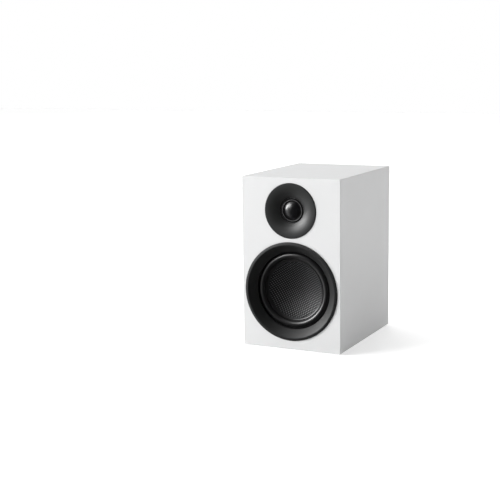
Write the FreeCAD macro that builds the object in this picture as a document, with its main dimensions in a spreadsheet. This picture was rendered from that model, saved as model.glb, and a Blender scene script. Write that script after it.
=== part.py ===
import FreeCAD, Part
import Sketcher
import math
import os
import re

# A two-way bookshelf speaker. Millimetres, +Z up, the front faces -Y and +X is to the right of
# someone who looks at the front. The origin is on the floor, under the middle of the cabinet.
# In each outline the first coordinate runs sideways, or is a radius, and the second one runs up,
# or is a depth measured backwards from the face that the piece is fitted to.

SIZES = {
    # cabinet
    "cabinet_width": 147,
    "cabinet_height": 240,
    "cabinet_depth": 195,
    "panel_thickness": 12,
    "baffle_thickness": 18,
    "edge_rounding": 0.8,
    "rear_panel_gap": 0.2,
    "brace_thickness": 9,
    "brace_height": 148,
    "brace_bar": 12,
    "foot_height": 1.2,
    "foot_radius": 6,
    "foot_inset": 18,
    "fit_gap": 0.3,
    "edge_break": 0.4,
    "press_gap": 0.05,
    "pad_thickness": 10,
    "pad_front": 60,
    "pad_back": 180,
    # how far the trim ring stands out at the front, and the port and cup screws at the rear
    "trim_proud": 2.0,
    # woofer, in radii and depths about its own axis
    "woofer_height": 81.8,
    "ring_radius": 69.3,
    "ring_edge": 0.5,
    "ring_crest_radius": 65,
    "ring_lip_radius": 54.6,
    "ring_lip_depth": 8,
    "ring_lip_length": 4,
    "ring_wall": 1.6,
    "ring_crest_width": 1.4,
    "ring_crest_drop": 0.35,
    "ring_crest_easing": 1,
    "rebate_radius": 66.8,
    "woofer_hole_radius": 58.6,
    "flange_radius": 66.4,
    "flange_depth": 7,
    "flange_thickness": 2.4,
    "gasket_thickness": 1,
    "basket_radius": 58.3,
    "basket_wall": 1.6,
    "shelf_radius": 52,
    "shelf_depth": 13.4,
    "ledge_radius": 42.4,
    "ledge_depth": 38.5,
    "neck_radius": 37.6,
    "neck_back": 48,
    "window_count": 6,
    "window_half_angle": 19,
    "window_start": 18.5,
    "window_end": 37,
    "basket_corner": 1.8,
    "basket_lip": 0.7,
    "woofer_screw_circle": 62.8,
    "woofer_screw_count": 6,
    "screw_head_radius": 3,
    "screw_core_radius": 1.4,
    "screw_head_height": 1.6,
    "screw_length": 10,
    "roll_outer_radius": 53.4,
    "roll_inner_radius": 43.6,
    "roll_radius": 4.95,
    "surround_rim": 2.6,
    "rubber_thickness": 0.8,
    "cone_lip_radius": 41,
    "cone_rim_step": 0.6,
    "cone_depth": 13.2,
    "bowl_depth": 15.5,
    "cone_thickness": 0.7,
    "former_radius": 12.4,
    "former_wall": 0.2,
    "former_back": 57,
    "former_set_forward": 1.2,
    "coil_thickness": 0.6,
    "coil_front": 45,
    "coil_length": 11,
    "spider_depth": 38,
    "spider_wave": 1.2,
    "spider_thickness": 0.5,
    "spider_collar": 1.6,
    "plate_thickness": 5,
    "plate_radius": 40,
    "gap_radius": 13.6,
    "pole_radius": 12.1,
    "pole_vent_radius": 4,
    "magnet_radius": 42,
    "magnet_bore_radius": 20,
    "magnet_thickness": 15,
    "magnet_edge": 1,
    "terminal_board_width": 15,
    "terminal_board_thickness": 1.6,
    "terminal_board_height": 18,
    "blade_thickness": 0.8,
    "blade_length": 8,
    "blade_width": 4.8,
    "blade_gap": 4,
    "blade_offset": 11,
    # tweeter, in radii and depths about its own axis
    "tweeter_height": 194.3,
    "faceplate_radius": 38.2,
    "faceplate_proud": 1,
    "faceplate_back": 4.2,
    "faceplate_rebate": 5,
    "bowl_mouth_radius": 36.2,
    "throat_radius": 17.5,
    "throat_depth": 5.6,
    "waveguide_flare": 32,
    "faceplate_edge": 0.6,
    "mouth_edge": 0.5,
    "mouth_drop": 0.15,
    "mouth_easing": 1.2,
    "throat_easing": 1,
    "throat_lip": 0.3,
    "tweeter_skirt_radius": 30,
    "tweeter_skirt_wall": 3.4,
    "tweeter_skirt_back": 18,
    "motor_front": 6.9,
    "dome_rim_set_forward": 0.3,
    "dome_radius": 12.2,
    "dome_height": 4.3,
    "dome_thickness": 0.3,
    "dome_skirt": 4,
    "tweeter_coil_thickness": 0.4,
    "tweeter_coil_front": 0.6,
    "tweeter_coil_length": 2,
    "tweeter_roll_outer": 13.4,
    "tweeter_roll_radius": 0.68,
    "tweeter_roll_sheet": 0.2,
    "tweeter_roll_slope": 0.05,
    "dome_ring_radius": 14,
    "dome_ring_front": 5.4,
    "dome_ring_lip": 0.8,
    "dome_ring_bead": 0.5,
    "dome_ring_drop": 0.5,
    "tweeter_gap_radius": 13.1,
    "tweeter_pole_radius": 11.8,
    "tweeter_pole_recess": 0.8,
    "tweeter_plate_radius": 25,
    "tweeter_plate_thickness": 3,
    "tweeter_magnet_bore": 15,
    "tweeter_magnet_thickness": 6.5,
    "tweeter_yoke_thickness": 3.5,
    "tweeter_vent_radius": 5,
    "chamber_radius": 25.8,
    "chamber_wall": 1.8,
    "chamber_back": 44,
    "chamber_corner": 3,
    "clamp_radius": 33,
    "clamp_thickness": 2.5,
    "clamp_screw_circle": 28.3,
    "clamp_screw_count": 3,
    "clamp_screw_head": 2.2,
    "clamp_screw_core": 1,
    "clamp_screw_head_height": 1.6,
    "clamp_screw_reach": 7.5,
    "clamp_pilot_length": 8,
    "tweeter_blade_x": 4.5,
    # reflex port, in radii and depths about its own axis, from the rear face
    "port_height": 186,
    "port_radius": 17,
    "port_wall": 2,
    "port_flare": 10,
    "port_inner_flare": 4,
    "port_flange_radius": 31,
    "port_flange_edge": 0.8,
    "port_length": 97,
    # terminal cup, about its own middle, from the rear face
    "cup_height": 70,
    "cup_flange_width": 80,
    "cup_flange_height": 60,
    "cup_flange_thickness": 2.4,
    "cup_flange_proud": 0.6,
    "cup_gasket_thickness": 0.5,
    "cup_width": 64,
    "cup_depth_inside": 24,
    "cup_opening_height": 44,
    "cup_wall": 2,
    "cup_corner": 5,
    "cup_screw_x": 36,
    "cup_screw_z": 26,
    "cup_screw_head": 2.8,
    "cup_screw_core": 1.3,
    "cup_screw_length": 11,
    "cup_screw_crown": 0.8,
    "cup_screw_flat": 0.9,
    "cup_screw_easing": 1.2,
    "cross_recess_arm": 1.7,
    "cross_recess_width": 0.7,
    "cross_recess_depth": 1,
    # binding posts: M6 x 1.0 studs with a 4 mm socket, at the standard 19.05 mm (3/4 inch) spacing
    "post_spacing": 19.05,
    "post_radius": 3,
    "post_end": -4,
    "post_tail": 14,
    "post_base_across_flats": 11,
    "post_base": 2,
    "socket_radius": 2,
    "socket_length": 14.5,
    "wire_hole_radius": 1.3,
    "collar_radius": 7,
    "collar_thickness": 3.2,
    "knob_radius": 7.5,
    "knob_length": 14.5,
    "knob_bore_clearance": 0.05,
    "knob_flute_radius": 1.1,
    "knob_flute_count": 12,
    "knob_flute_offset": 0.45,
    "knob_flute_margin": 1.4,
    "knob_edge": 0.6,
    "knob_ring_easing": 0.5,
    "knob_ring_inner": 4.6,
    "knob_ring_thickness": 1.5,
    "post_nut_across_flats": 10,
    "post_nut_thickness": 5,
    "lug_thickness": 1,
    "lug_radius": 5.5,
    "lug_tongue": 10,
    "lug_tongue_width": 4,
    # crossover
    "board_width": 90,
    "board_front": 95,
    "board_length": 80,
    "board_thickness": 1.6,
    "standoff_height": 6,
    "standoff_radius": 3,
    "standoff_inset": 5,
    "capacitor_radius": 7.5,
    "capacitor_length": 30,
    "resistor_length": 22,
    "resistor_height": 9,
    "lead_radius": 1.1,
    "tinsel_radius": 0.6,
}

DOCUMENT = FreeCAD.newDocument("bookshelf_speaker")
SHEET = DOCUMENT.addObject("Spreadsheet::Sheet", "Sizes")
PIECES = []

FRONT = "-cabinet_depth/2"
REAR = "cabinet_depth/2"
INNER_HALF_WIDTH = "(cabinet_width/2 - panel_thickness)"
WOOFER = ("0", FRONT, "foot_height + woofer_height")
TWEETER = ("0", FRONT, "foot_height + tweeter_height")
CABINET = ("0", FRONT, "foot_height")
PORT = ("0", REAR, "foot_height + port_height")
CUP = ("0", REAR, "foot_height + cup_height")
WOOFER_SCREW_ANGLE = 30


def fill_sheet():
    """One row per driving dimension: its name, its value and the alias that the model uses."""
    for row, (name, number) in enumerate(SIZES.items(), start=1):
        SHEET.set(f"A{row}", name.replace("_", " "))
        SHEET.set(f"B{row}", str(number))
        SHEET.setAlias(f"B{row}", name)
    DOCUMENT.recompute()


def value(expression):
    """The number that an expression of the sheet's aliases gives."""
    return float(SHEET.evalExpression(expression))


def linked(expression):
    """The same expression as another object of the document writes it."""
    return re.sub(
        r"[a-z_]+",
        lambda word: "Sizes." + word.group() if word.group() in SIZES else word.group(),
        expression,
    )


def bind(item, property_name, expression):
    item.setExpression(property_name, linked(expression))


def place(item, position):
    for axis, expression in zip("xyz", position):
        bind(item, "Placement.Base." + axis, expression)


def keep(item, label):
    """Name a finished piece and list it for export."""
    item.Label = label
    PIECES.append(item)
    return item


def new_body(label, position, listed=True):
    body = DOCUMENT.addObject("PartDesign::Body", label)
    body.AllowCompound = True
    place(body, position)
    body.Label = label
    if listed:
        PIECES.append(body)
    return body


def origin_feature(body, role):
    return next(item for item in body.Origin.OriginFeatures if item.Role == role)


def new_sketch(body, name, plane, offset=None):
    """A sketch on one of the body's own planes, moved along the plane's normal by offset."""
    sketch = body.newObject("Sketcher::SketchObject", name)
    sketch.AttachmentSupport = [(origin_feature(body, plane), "")]
    sketch.MapMode = "FlatFace"
    if offset:
        bind(sketch, "AttachmentOffset.Base.z", offset)
    return sketch


def arc_between(start, end, radius, turns_left):
    """The short arc from start to end, as a counter-clockwise arc, and which of its ends is first."""
    chord = end - start
    sideways = FreeCAD.Vector(-chord.y, chord.x, 0).normalize()
    height = math.sqrt(max(radius**2 - chord.Length**2 / 4, 0))
    centre = (start + end) * 0.5 + sideways * (height if turns_left else -height)
    low, high = (start, end) if turns_left else (end, start)
    first = math.atan2(low.y - centre.y, low.x - centre.x)
    last = math.atan2(high.y - centre.y, high.x - centre.x)
    if last < first:
        last += 2 * math.pi
    circle = Part.Circle(centre, FreeCAD.Vector(0, 0, 1), radius)
    return Part.ArcOfCircle(circle, first, last), (1, 2) if turns_left else (2, 1)


def draw_outline(sketch, corners):
    """A closed outline through the corners. A corner is (x, y), or (x, y, radius, side) where an
    arc of that radius, whose centre is on that side of the way, arrives at it."""
    points = [FreeCAD.Vector(value(corner[0]), value(corner[1]), 0) for corner in corners]
    shapes = []
    ends = []
    for index, corner in enumerate(corners):
        start, end = points[index - 1], points[index]
        if len(corner) == 2:
            shape, order = Part.LineSegment(start, end), (1, 2)
        else:
            shape, order = arc_between(start, end, value(corner[2]), corner[3] == "left")
        shapes.append(shape)
        ends.append(order)
    ids = sketch.addGeometry(shapes, False)
    constraints = []
    formulas = []
    for index, corner in enumerate(corners):
        following = (index + 1) % len(corners)
        here, end = ids[index], ends[index][1]
        constraints.append(
            Sketcher.Constraint("Coincident", here, end, ids[following], ends[following][0])
        )
        formulas.append(None)
        constraints.append(Sketcher.Constraint("DistanceX", -1, 1, here, end, points[index].x))
        formulas.append(corner[0])
        constraints.append(Sketcher.Constraint("DistanceY", -1, 1, here, end, points[index].y))
        formulas.append(corner[1])
        if len(corner) > 2:
            constraints.append(Sketcher.Constraint("Radius", here, value(corner[2])))
            formulas.append(corner[2])
    for number, formula in zip(sketch.addConstraint(constraints), formulas):
        if formula:
            bind(sketch, f"Constraints[{number}]", formula)


def draw_circle(sketch, x, y, radius):
    centre = FreeCAD.Vector(value(x), value(y), 0)
    circle = Part.Circle(centre, FreeCAD.Vector(0, 0, 1), value(radius))
    index = sketch.addGeometry(circle, False)
    constraints = [
        Sketcher.Constraint("DistanceX", -1, 1, index, 3, centre.x),
        Sketcher.Constraint("DistanceY", -1, 1, index, 3, centre.y),
        Sketcher.Constraint("Radius", index, value(radius)),
    ]
    for number, formula in zip(sketch.addConstraint(constraints), (x, y, radius)):
        bind(sketch, f"Constraints[{number}]", formula)


def draw_circle_ring(sketch, height, circle_radius, hole_radius, count, first_angle):
    """Equal circles evenly spaced around a centre at x = 0 and the given height."""
    for step in range(count):
        angle = math.radians(first_angle + 360 * step / count)
        draw_circle(
            sketch,
            f"{circle_radius} * {math.cos(angle):.6f}",
            f"{height} + {circle_radius} * {math.sin(angle):.6f}",
            hole_radius,
        )


def draw_screw_circle(sketch, radius, height="0"):
    """The woofer's screws, one in front of each arm of its basket."""
    draw_circle_ring(
        sketch, height, "woofer_screw_circle", radius, SIZES["woofer_screw_count"], WOOFER_SCREW_ANGLE
    )


def draw_four_circles(sketch, x, y, radius):
    for across in ("", "-"):
        for along in ("", "-"):
            draw_circle(sketch, f"{across}({x})", f"{along}({y})", radius)


def rectangle(half_width, low, high):
    return [
        (f"-({half_width})", low),
        (half_width, low),
        (half_width, high),
        (f"-({half_width})", high),
    ]


def rounded_rectangle(half_width, half_height, corner):
    """A rectangle about the centre, as arcs of the corner radius joined by straight sides."""
    side, top, turn = f"({half_width})", f"({half_height})", f"({corner})"
    return [
        (f"{side} - {turn}", f"-{top}"),
        (side, f"-{top} + {turn}", turn, "left"),
        (side, f"{top} - {turn}"),
        (f"{side} - {turn}", top, turn, "left"),
        (f"-{side} + {turn}", top),
        (f"-{side}", f"{top} - {turn}", turn, "left"),
        (f"-{side}", f"-{top} + {turn}"),
        (f"-{side} + {turn}", f"-{top}", turn, "left"),
    ]


def hexagon(across_flats):
    corner = f"({across_flats}) / {math.sqrt(3):.6f}"
    points = []
    for step in range(6):
        angle = math.radians(60 * step)
        points.append((f"{corner} * {math.cos(angle):.6f}", f"{corner} * {math.sin(angle):.6f}"))
    return points


def revolved(body, name, corners):
    """Turn a section of (radius, depth) corners about the body's own Y axis."""
    sketch = new_sketch(body, name + "_section", "XY_Plane")
    draw_outline(sketch, corners)
    feature = body.newObject("PartDesign::Revolution", name)
    feature.Profile = sketch
    feature.ReferenceAxis = (sketch, ["V_Axis"])
    feature.Angle = 360
    return feature


def extruded(body, name, drawing, start, length, cut=False):
    """Draw across the depth direction, then add or cut from depth start for the given length."""
    sketch = new_sketch(body, name + "_outline", "XZ_Plane", f"-({start})")
    drawing(sketch)
    feature = body.newObject("PartDesign::Pocket" if cut else "PartDesign::Pad", name)
    feature.Profile = sketch
    feature.Reversed = not cut
    bind(feature, "Length", length)
    return feature


def repeated(body, features, count):
    """Repeat features evenly around the body's own Y axis."""
    pattern = body.newObject("PartDesign::PolarPattern", body.Name + "_pattern")
    pattern.Originals = features
    pattern.Axis = (origin_feature(body, "Y_Axis"), [""])
    pattern.Angle = 360
    pattern.Occurrences = int(value(count))
    body.Tip = pattern
    bind(pattern, "Occurrences", count)
    return pattern


def rounded_edges(body, name, radius, wanted):
    """Fillet the edges of the body's last feature that the wanted test picks."""
    DOCUMENT.recompute()
    base = body.Tip
    names = [f"Edge{n}" for n, edge in enumerate(base.Shape.Edges, start=1) if wanted(edge)]
    feature = body.newObject("PartDesign::Fillet", name)
    feature.Base = (base, names)
    bind(feature, "Radius", radius)
    return feature


def box(label, corner, size, listed=True):
    item = DOCUMENT.addObject("Part::Box", label)
    for property_name, expression in zip(("Length", "Width", "Height"), size):
        bind(item, property_name, expression)
    place(item, corner)
    item.Label = label
    if listed:
        PIECES.append(item)
    return item


def group(label, items):
    """Separate solids that are one node."""
    compound = DOCUMENT.addObject("Part::Compound", label)
    compound.Links = items
    return keep(compound, label)


# ---------------------------------------------------------------- cabinet


def add_front_baffle():
    body = new_body("front_baffle", CABINET)
    slab = rectangle("cabinet_width/2", "0", "cabinet_height")
    extruded(body, "slab", lambda sketch: draw_outline(sketch, slab), "0", "baffle_thickness")
    back = value("baffle_thickness")
    rounded_edges(
        body,
        "edges",
        "edge_rounding",
        lambda edge: not all(abs(vertex.Y - back) < 0.01 for vertex in edge.Vertexes),
    )
    flange_seat = "flange_depth + flange_thickness + gasket_thickness"
    faceplate_seat = "faceplate_radius + fit_gap"
    skirt_hole = "tweeter_skirt_radius + fit_gap"
    seats = [
        ("woofer_rebate", "woofer_height", "rebate_radius", flange_seat),
        ("woofer_hole", "woofer_height", "woofer_hole_radius", "baffle_thickness"),
        ("tweeter_rebate", "tweeter_height", faceplate_seat, "faceplate_rebate"),
        ("tweeter_hole", "tweeter_height", skirt_hole, "baffle_thickness"),
    ]
    for name, height, radius, depth in seats:
        extruded(
            body,
            name,
            lambda sketch: draw_circle(sketch, "0", height, radius),
            "0",
            depth,
            cut=True,
        )
    extruded(
        body,
        "woofer_pilot_holes",
        lambda sketch: draw_screw_circle(sketch, "screw_core_radius", "woofer_height"),
        "0",
        "flange_depth + screw_length",
        cut=True,
    )


def carcass_blank():
    """The cabinet's outer shape with every edge rounded, which the mitred panels are trimmed to."""
    solid = box(
        "carcass_box",
        ("-cabinet_width/2", FRONT, "foot_height"),
        ("cabinet_width", "cabinet_depth", "cabinet_height"),
        listed=False,
    )
    DOCUMENT.recompute()
    blank = DOCUMENT.addObject("Part::Fillet", "carcass_blank")
    blank.Base = solid
    radius = value("edge_rounding")
    blank.Edges = [(number, radius, radius) for number in range(1, len(solid.Shape.Edges) + 1)]
    return blank


def add_mitred_panels():
    """Two sides, a top and a bottom, mitred where they meet, from the baffle to the rear face."""
    blank = carcass_blank()
    outer = rectangle("cabinet_width/2", "0", "cabinet_height")
    inner = rectangle(INNER_HALF_WIDTH, "panel_thickness", "cabinet_height - panel_thickness")
    names = ("bottom_panel", "right_side_panel", "top_panel", "left_side_panel")
    for index, name in enumerate(names):
        following = (index + 1) % len(names)
        outline = [outer[index], outer[following], inner[following], inner[index]]
        board = new_body(name + "_board", CABINET, listed=False)
        extruded(
            board,
            name + "_slab",
            lambda sketch: draw_outline(sketch, outline),
            "baffle_thickness",
            "cabinet_depth - baffle_thickness",
        )
        panel = DOCUMENT.addObject("Part::Common", name)
        panel.Base = board
        panel.Tool = blank
        keep(panel, name)


def add_rear_panel():
    """Inset between the mitred panels, flush with their rear edges."""
    body = new_body("rear_panel", ("0", REAR, "foot_height"))
    half_width = INNER_HALF_WIDTH + " - rear_panel_gap"
    slab = rectangle(
        half_width,
        "panel_thickness + rear_panel_gap",
        "cabinet_height - panel_thickness - rear_panel_gap",
    )
    extruded(
        body, "slab", lambda sketch: draw_outline(sketch, slab), "-panel_thickness", "panel_thickness"
    )
    extruded(
        body,
        "port_hole",
        lambda sketch: draw_circle(sketch, "0", "port_height", "port_radius + port_flare + fit_gap"),
        "-panel_thickness",
        "panel_thickness",
        cut=True,
    )
    flange = "cup_flange_thickness - cup_flange_proud + cup_gasket_thickness"
    tub = "cup_wall + fit_gap"
    cutouts = [
        ("cup_rebate", "cup_flange_width/2 + fit_gap", "cup_flange_height/2 + fit_gap", flange),
        ("cup_hole", f"cup_width/2 + {tub}", f"cup_opening_height/2 + {tub}", "panel_thickness"),
    ]
    for name, half_x, half_z, depth in cutouts:
        outline = [
            (x, f"cup_height + {z}", *turn)
            for x, z, *turn in rounded_rectangle(half_x, half_z, "cup_corner")
        ]
        extruded(
            body,
            name,
            lambda sketch: draw_outline(sketch, outline),
            f"-({depth})",
            depth,
            cut=True,
        )

    def pilot_holes(sketch):
        for across in ("", "-"):
            for along in ("", "-"):
                height = f"cup_height + {along}cup_screw_z"
                draw_circle(sketch, f"{across}cup_screw_x", height, "cup_screw_core")

    extruded(body, "cup_pilot_holes", pilot_holes, "-cup_screw_length", "cup_screw_length", cut=True)


def add_window_brace():
    """A shelf glued in across the cabinet, with a window on each side of its middle bar."""
    body = new_body("window_brace", ("0", FRONT, "foot_height + brace_height"))
    rear_end = "cabinet_depth - panel_thickness"
    near = "baffle_thickness + 2*brace_bar"
    far = f"{rear_end} - brace_bar"
    sketch = new_sketch(body, "board_outline", "XY_Plane")
    draw_outline(sketch, rectangle(INNER_HALF_WIDTH, "baffle_thickness", rear_end))
    for side in ("", "-"):
        bar, edge = f"{side}(brace_bar/2)", f"{side}({INNER_HALF_WIDTH} - brace_bar)"
        draw_outline(sketch, [(bar, near), (edge, near), (edge, far), (bar, far)])
    board = body.newObject("PartDesign::Pad", "board")
    board.Profile = sketch
    bind(board, "Length", "brace_thickness")


def add_feet():
    body = new_body("rubber_feet", ("0", "0", "0"))
    sketch = new_sketch(body, "feet_outline", "XY_Plane")
    x, y = "cabinet_width/2 - foot_inset", "cabinet_depth/2 - foot_inset"
    draw_four_circles(sketch, x, y, "foot_radius")
    feet = body.newObject("PartDesign::Pad", "feet")
    feet.Profile = sketch
    bind(feet, "Length", "foot_height")


def add_damping_pads():
    """Fibre pads on the sides, under the brace, and under the top panel."""
    front = FRONT + " + pad_front"
    length = "pad_back - pad_front"
    low = "foot_height + panel_thickness"
    height = "brace_height - panel_thickness"
    under_top = "foot_height + cabinet_height - panel_thickness - pad_thickness"
    left_wall, right_wall = f"-{INNER_HALF_WIDTH}", f"{INNER_HALF_WIDTH} - pad_thickness"
    side_size = ("pad_thickness", length, height)
    top_size = (f"2*{INNER_HALF_WIDTH}", length, "pad_thickness")
    pads = [
        box("left_pad", (left_wall, front, low), side_size, listed=False),
        box("right_pad", (right_wall, front, low), side_size, listed=False),
        box("top_pad", (left_wall, front, under_top), top_size, listed=False),
    ]
    group("damping_pads", pads)


# ---------------------------------------------------------------- woofer


def add_trim_ring():
    """Moulded ring over the basket's flange: a narrow crest outside, then a funnel to its lip."""
    body = new_body("woofer_trim_ring", WOOFER)
    under = "ring_lip_depth + 1.2*ring_wall"
    crest = "ring_crest_radius + 0.6*ring_crest_width"
    revolved(
        body,
        "ring",
        [
            ("ring_radius", "0"),
            ("ring_radius", "-ring_edge"),
            (crest, "-trim_proud"),
            (f"{crest} - ring_crest_width", "-trim_proud + ring_crest_drop", "ring_crest_easing", "left"),
            ("ring_lip_radius", "ring_lip_depth"),
            ("ring_lip_radius", "ring_lip_depth + ring_lip_length"),
            ("ring_lip_radius + ring_wall", "ring_lip_depth + ring_lip_length"),
            ("ring_lip_radius + ring_wall", under),
            ("ring_crest_radius - 0.9*ring_wall", "ring_wall"),
            ("ring_crest_radius", "ring_wall"),
            ("ring_crest_radius", "flange_depth"),
            ("ring_crest_radius + ring_wall", "flange_depth"),
            ("ring_crest_radius + ring_wall", "0"),
        ],
    )


def add_woofer_gasket():
    """Foam ring between the basket's flange and the baffle's rebate."""
    body = new_body("woofer_gasket", WOOFER)
    start = "flange_depth + flange_thickness"

    def drawing(sketch):
        draw_circle(sketch, "0", "0", "flange_radius - fit_gap")
        draw_circle(sketch, "0", "0", "woofer_hole_radius + fit_gap")
        draw_screw_circle(sketch, "screw_core_radius")

    extruded(body, "ring", drawing, start, "gasket_thickness")


def add_woofer_basket():
    """Pressed steel: a flange, a stepped shelf for the surround, six arms, a spider ledge, a neck."""
    body = new_body("woofer_basket", WOOFER)
    wall = "basket_wall"
    flange_back = "flange_depth + flange_thickness"
    inner_radius = f"basket_radius - {wall} - fit_gap"
    neck_opening = "gap_radius + edge_break"
    revolved(
        body,
        "pressing",
        [
            ("basket_radius + basket_lip", "flange_depth"),
            ("flange_radius", "flange_depth"),
            ("flange_radius", flange_back),
            ("basket_radius", flange_back),
            ("basket_radius", "shelf_depth + basket_corner"),
            ("ledge_radius", f"ledge_depth + {wall}"),
            ("neck_radius", f"ledge_depth + {wall}"),
            ("neck_radius", "neck_back"),
            (neck_opening, "neck_back"),
            (neck_opening, f"neck_back - {wall}"),
            (f"neck_radius - {wall}", f"neck_back - {wall}"),
            (f"neck_radius - {wall}", "ledge_depth"),
            (f"ledge_radius - {wall}", "ledge_depth"),
            (f"basket_radius - 2*{wall}", f"shelf_depth + {wall}"),
            ("shelf_radius", f"shelf_depth + {wall}"),
            ("shelf_radius", "shelf_depth"),
            (inner_radius, "shelf_depth"),
            (inner_radius, f"{flange_back} + edge_break"),
        ],
    )
    for name, radius, depth in (
        ("screw_holes", "screw_core_radius + fit_gap", "flange_thickness"),
        ("screw_seats", "screw_head_radius", "screw_head_height"),
    ):
        extruded(
            body,
            name,
            lambda sketch: draw_screw_circle(sketch, radius),
            "flange_depth",
            depth,
            cut=True,
        )
    half = math.radians(SIZES["window_half_angle"])
    across, up = f"{math.cos(half):.6f}", f"{math.sin(half):.6f}"
    inner, outer = "neck_radius", "(basket_radius + 2*basket_wall)"
    sector = [
        (f"{inner} * {across}", f"-{inner} * {up}"),
        (f"{outer} * {across}", f"-{outer} * {up}"),
        (f"{outer} * {across}", f"{outer} * {up}"),
        (f"{inner} * {across}", f"{inner} * {up}"),
    ]
    window = extruded(
        body,
        "window",
        lambda sketch: draw_outline(sketch, sector),
        "window_start",
        "window_end - window_start",
        cut=True,
    )
    repeated(body, [window], "window_count")


def add_woofer_screws():
    """Screws sunk flush in the flange, which the trim ring hides."""
    body = new_body("woofer_screws", WOOFER)
    angle = math.radians(WOOFER_SCREW_ANGLE)
    x, z = (f"woofer_screw_circle * {part:.6f}" for part in (math.cos(angle), math.sin(angle)))
    head = extruded(
        body,
        "head",
        lambda sketch: draw_circle(sketch, x, z, "screw_head_radius"),
        "flange_depth",
        "screw_head_height",
    )
    shank = extruded(
        body,
        "shank",
        lambda sketch: draw_circle(sketch, x, z, "screw_core_radius"),
        "flange_depth",
        "screw_length",
    )
    repeated(body, [head, shank], "woofer_screw_count")


def add_surround():
    """Half-roll rubber surround, glued to the shelf outside and to the cone's rim inside."""
    body = new_body("woofer_surround", WOOFER)
    face, back, thickness = "(cone_depth - rubber_thickness)", "cone_depth", "rubber_thickness"
    revolved(
        body,
        "roll",
        [
            ("cone_lip_radius", face),
            ("cone_lip_radius", back),
            (f"roll_inner_radius + {thickness}", back),
            (f"roll_outer_radius - {thickness}", back, f"roll_radius - {thickness}", "left"),
            ("roll_outer_radius + surround_rim", back),
            ("roll_outer_radius + surround_rim", face),
            ("roll_outer_radius", face),
            ("roll_inner_radius", face, "roll_radius", "right"),
        ],
    )


def add_cone():
    """A one-piece concave bowl with a flat rim under the surround's inner edge."""
    body = new_body("woofer_cone", WOOFER)
    rim = "(cone_lip_radius + cone_rim_step)"
    face = f"(({rim}^2 + bowl_depth^2) / (2*bowl_depth))"
    back = f"({face} + cone_thickness)"
    apex = "cone_depth + bowl_depth"
    revolved(
        body,
        "bowl",
        [
            ("0", apex),
            (rim, "cone_depth", face, "right"),
            ("roll_inner_radius", "cone_depth"),
            ("roll_inner_radius", "cone_depth + cone_thickness"),
            (f"sqrt({back}^2 - ({back} - bowl_depth)^2)", "cone_depth + cone_thickness"),
            ("0", f"{apex} + cone_thickness", back, "left"),
        ],
    )


def add_coil_former():
    """A thin tube whose front edge meets the back of the bowl."""
    body = new_body("woofer_coil_former", WOOFER)
    outer = "former_radius + former_wall"
    front = "cone_depth + bowl_depth + cone_thickness - former_set_forward"
    revolved(
        body,
        "tube",
        [
            ("former_radius", front),
            (outer, front),
            (outer, "former_back"),
            ("former_radius", "former_back"),
        ],
    )


def add_winding(label, position, inner, thickness, front, length):
    """A coil of wire as one ring."""
    body = new_body(label, position)
    outer, back = f"{inner} + {thickness}", f"{front} + {length}"
    revolved(body, "winding", [(inner, front), (outer, front), (outer, back), (inner, back)])


def add_voice_coil():
    inner = "former_radius + former_wall"
    add_winding("woofer_voice_coil", WOOFER, inner, "coil_thickness", "coil_front", "coil_length")


def add_spider():
    """Corrugated cloth disc from the coil former to the basket's ledge."""
    body = new_body("woofer_spider", WOOFER)
    waves = 6
    tube = "former_radius + former_wall"
    inner, outer = f"{tube} + spider_collar", "neck_radius - basket_wall + fit_gap"
    step = f"(({outer}) - ({inner})) / {2 * waves}"
    crests = []
    for index in range(1, 2 * waves):
        side = "-" if index % 2 else "+"
        crests.append((f"{inner} + {step}*{index}", f"spider_depth {side} spider_wave"))
    rim = "ledge_radius - basket_wall - edge_break"
    front = [(tube, "spider_depth"), (inner, "spider_depth")]
    front += crests + [(outer, "spider_depth"), (rim, "spider_depth")]
    back = [(x, f"{depth} + spider_thickness") for x, depth in reversed(front)]
    revolved(body, "disc", front + back)


def add_woofer_motor():
    """Top plate, ferrite ring and yoke with a vented pole, glued behind the basket's neck."""
    plate_back = "neck_back + plate_thickness"
    magnet_back = f"{plate_back} + magnet_thickness"
    plate = new_body("woofer_top_plate", WOOFER)
    revolved(
        plate,
        "plate",
        [
            ("gap_radius", "neck_back"),
            ("plate_radius", "neck_back"),
            ("plate_radius", plate_back),
            ("gap_radius", plate_back),
        ],
    )
    magnet = new_body("woofer_magnet", WOOFER)
    revolved(
        magnet,
        "ring",
        [
            ("magnet_bore_radius", plate_back),
            ("magnet_radius - magnet_edge", plate_back),
            ("magnet_radius", f"{plate_back} + magnet_edge"),
            ("magnet_radius", f"{magnet_back} - magnet_edge"),
            ("magnet_radius - magnet_edge", magnet_back),
            ("magnet_bore_radius", magnet_back),
        ],
    )
    yoke = new_body("woofer_yoke", WOOFER)
    revolved(
        yoke,
        "yoke",
        [
            ("pole_vent_radius", "neck_back"),
            ("pole_radius", "neck_back"),
            ("pole_radius", magnet_back),
            ("plate_radius", magnet_back),
            ("plate_radius", f"{magnet_back} + plate_thickness - magnet_edge"),
            ("plate_radius - magnet_edge", f"{magnet_back} + plate_thickness"),
            ("pole_vent_radius", f"{magnet_back} + plate_thickness"),
        ],
    )


def add_woofer_terminals():
    """A board riveted behind the spider ledge, with two blades and the flexible tinsel leads."""
    board_front = FRONT + " + ledge_depth + basket_wall"
    board_back = board_front + " + terminal_board_thickness"
    centre = "foot_height + woofer_height"
    box(
        "woofer_terminal_board",
        ("neck_radius + fit_gap", board_front, f"{centre} - terminal_board_height/2"),
        ("terminal_board_width", "terminal_board_thickness", "terminal_board_height"),
    )
    blades = []
    for name, low in (("upper_blade", "blade_gap/2"), ("lower_blade", "-blade_gap/2 - blade_width")):
        blades.append(add_blade(name, ("neck_radius + blade_offset", board_back, f"{centre} + {low}")))
    group("woofer_terminal_tabs", blades)


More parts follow.
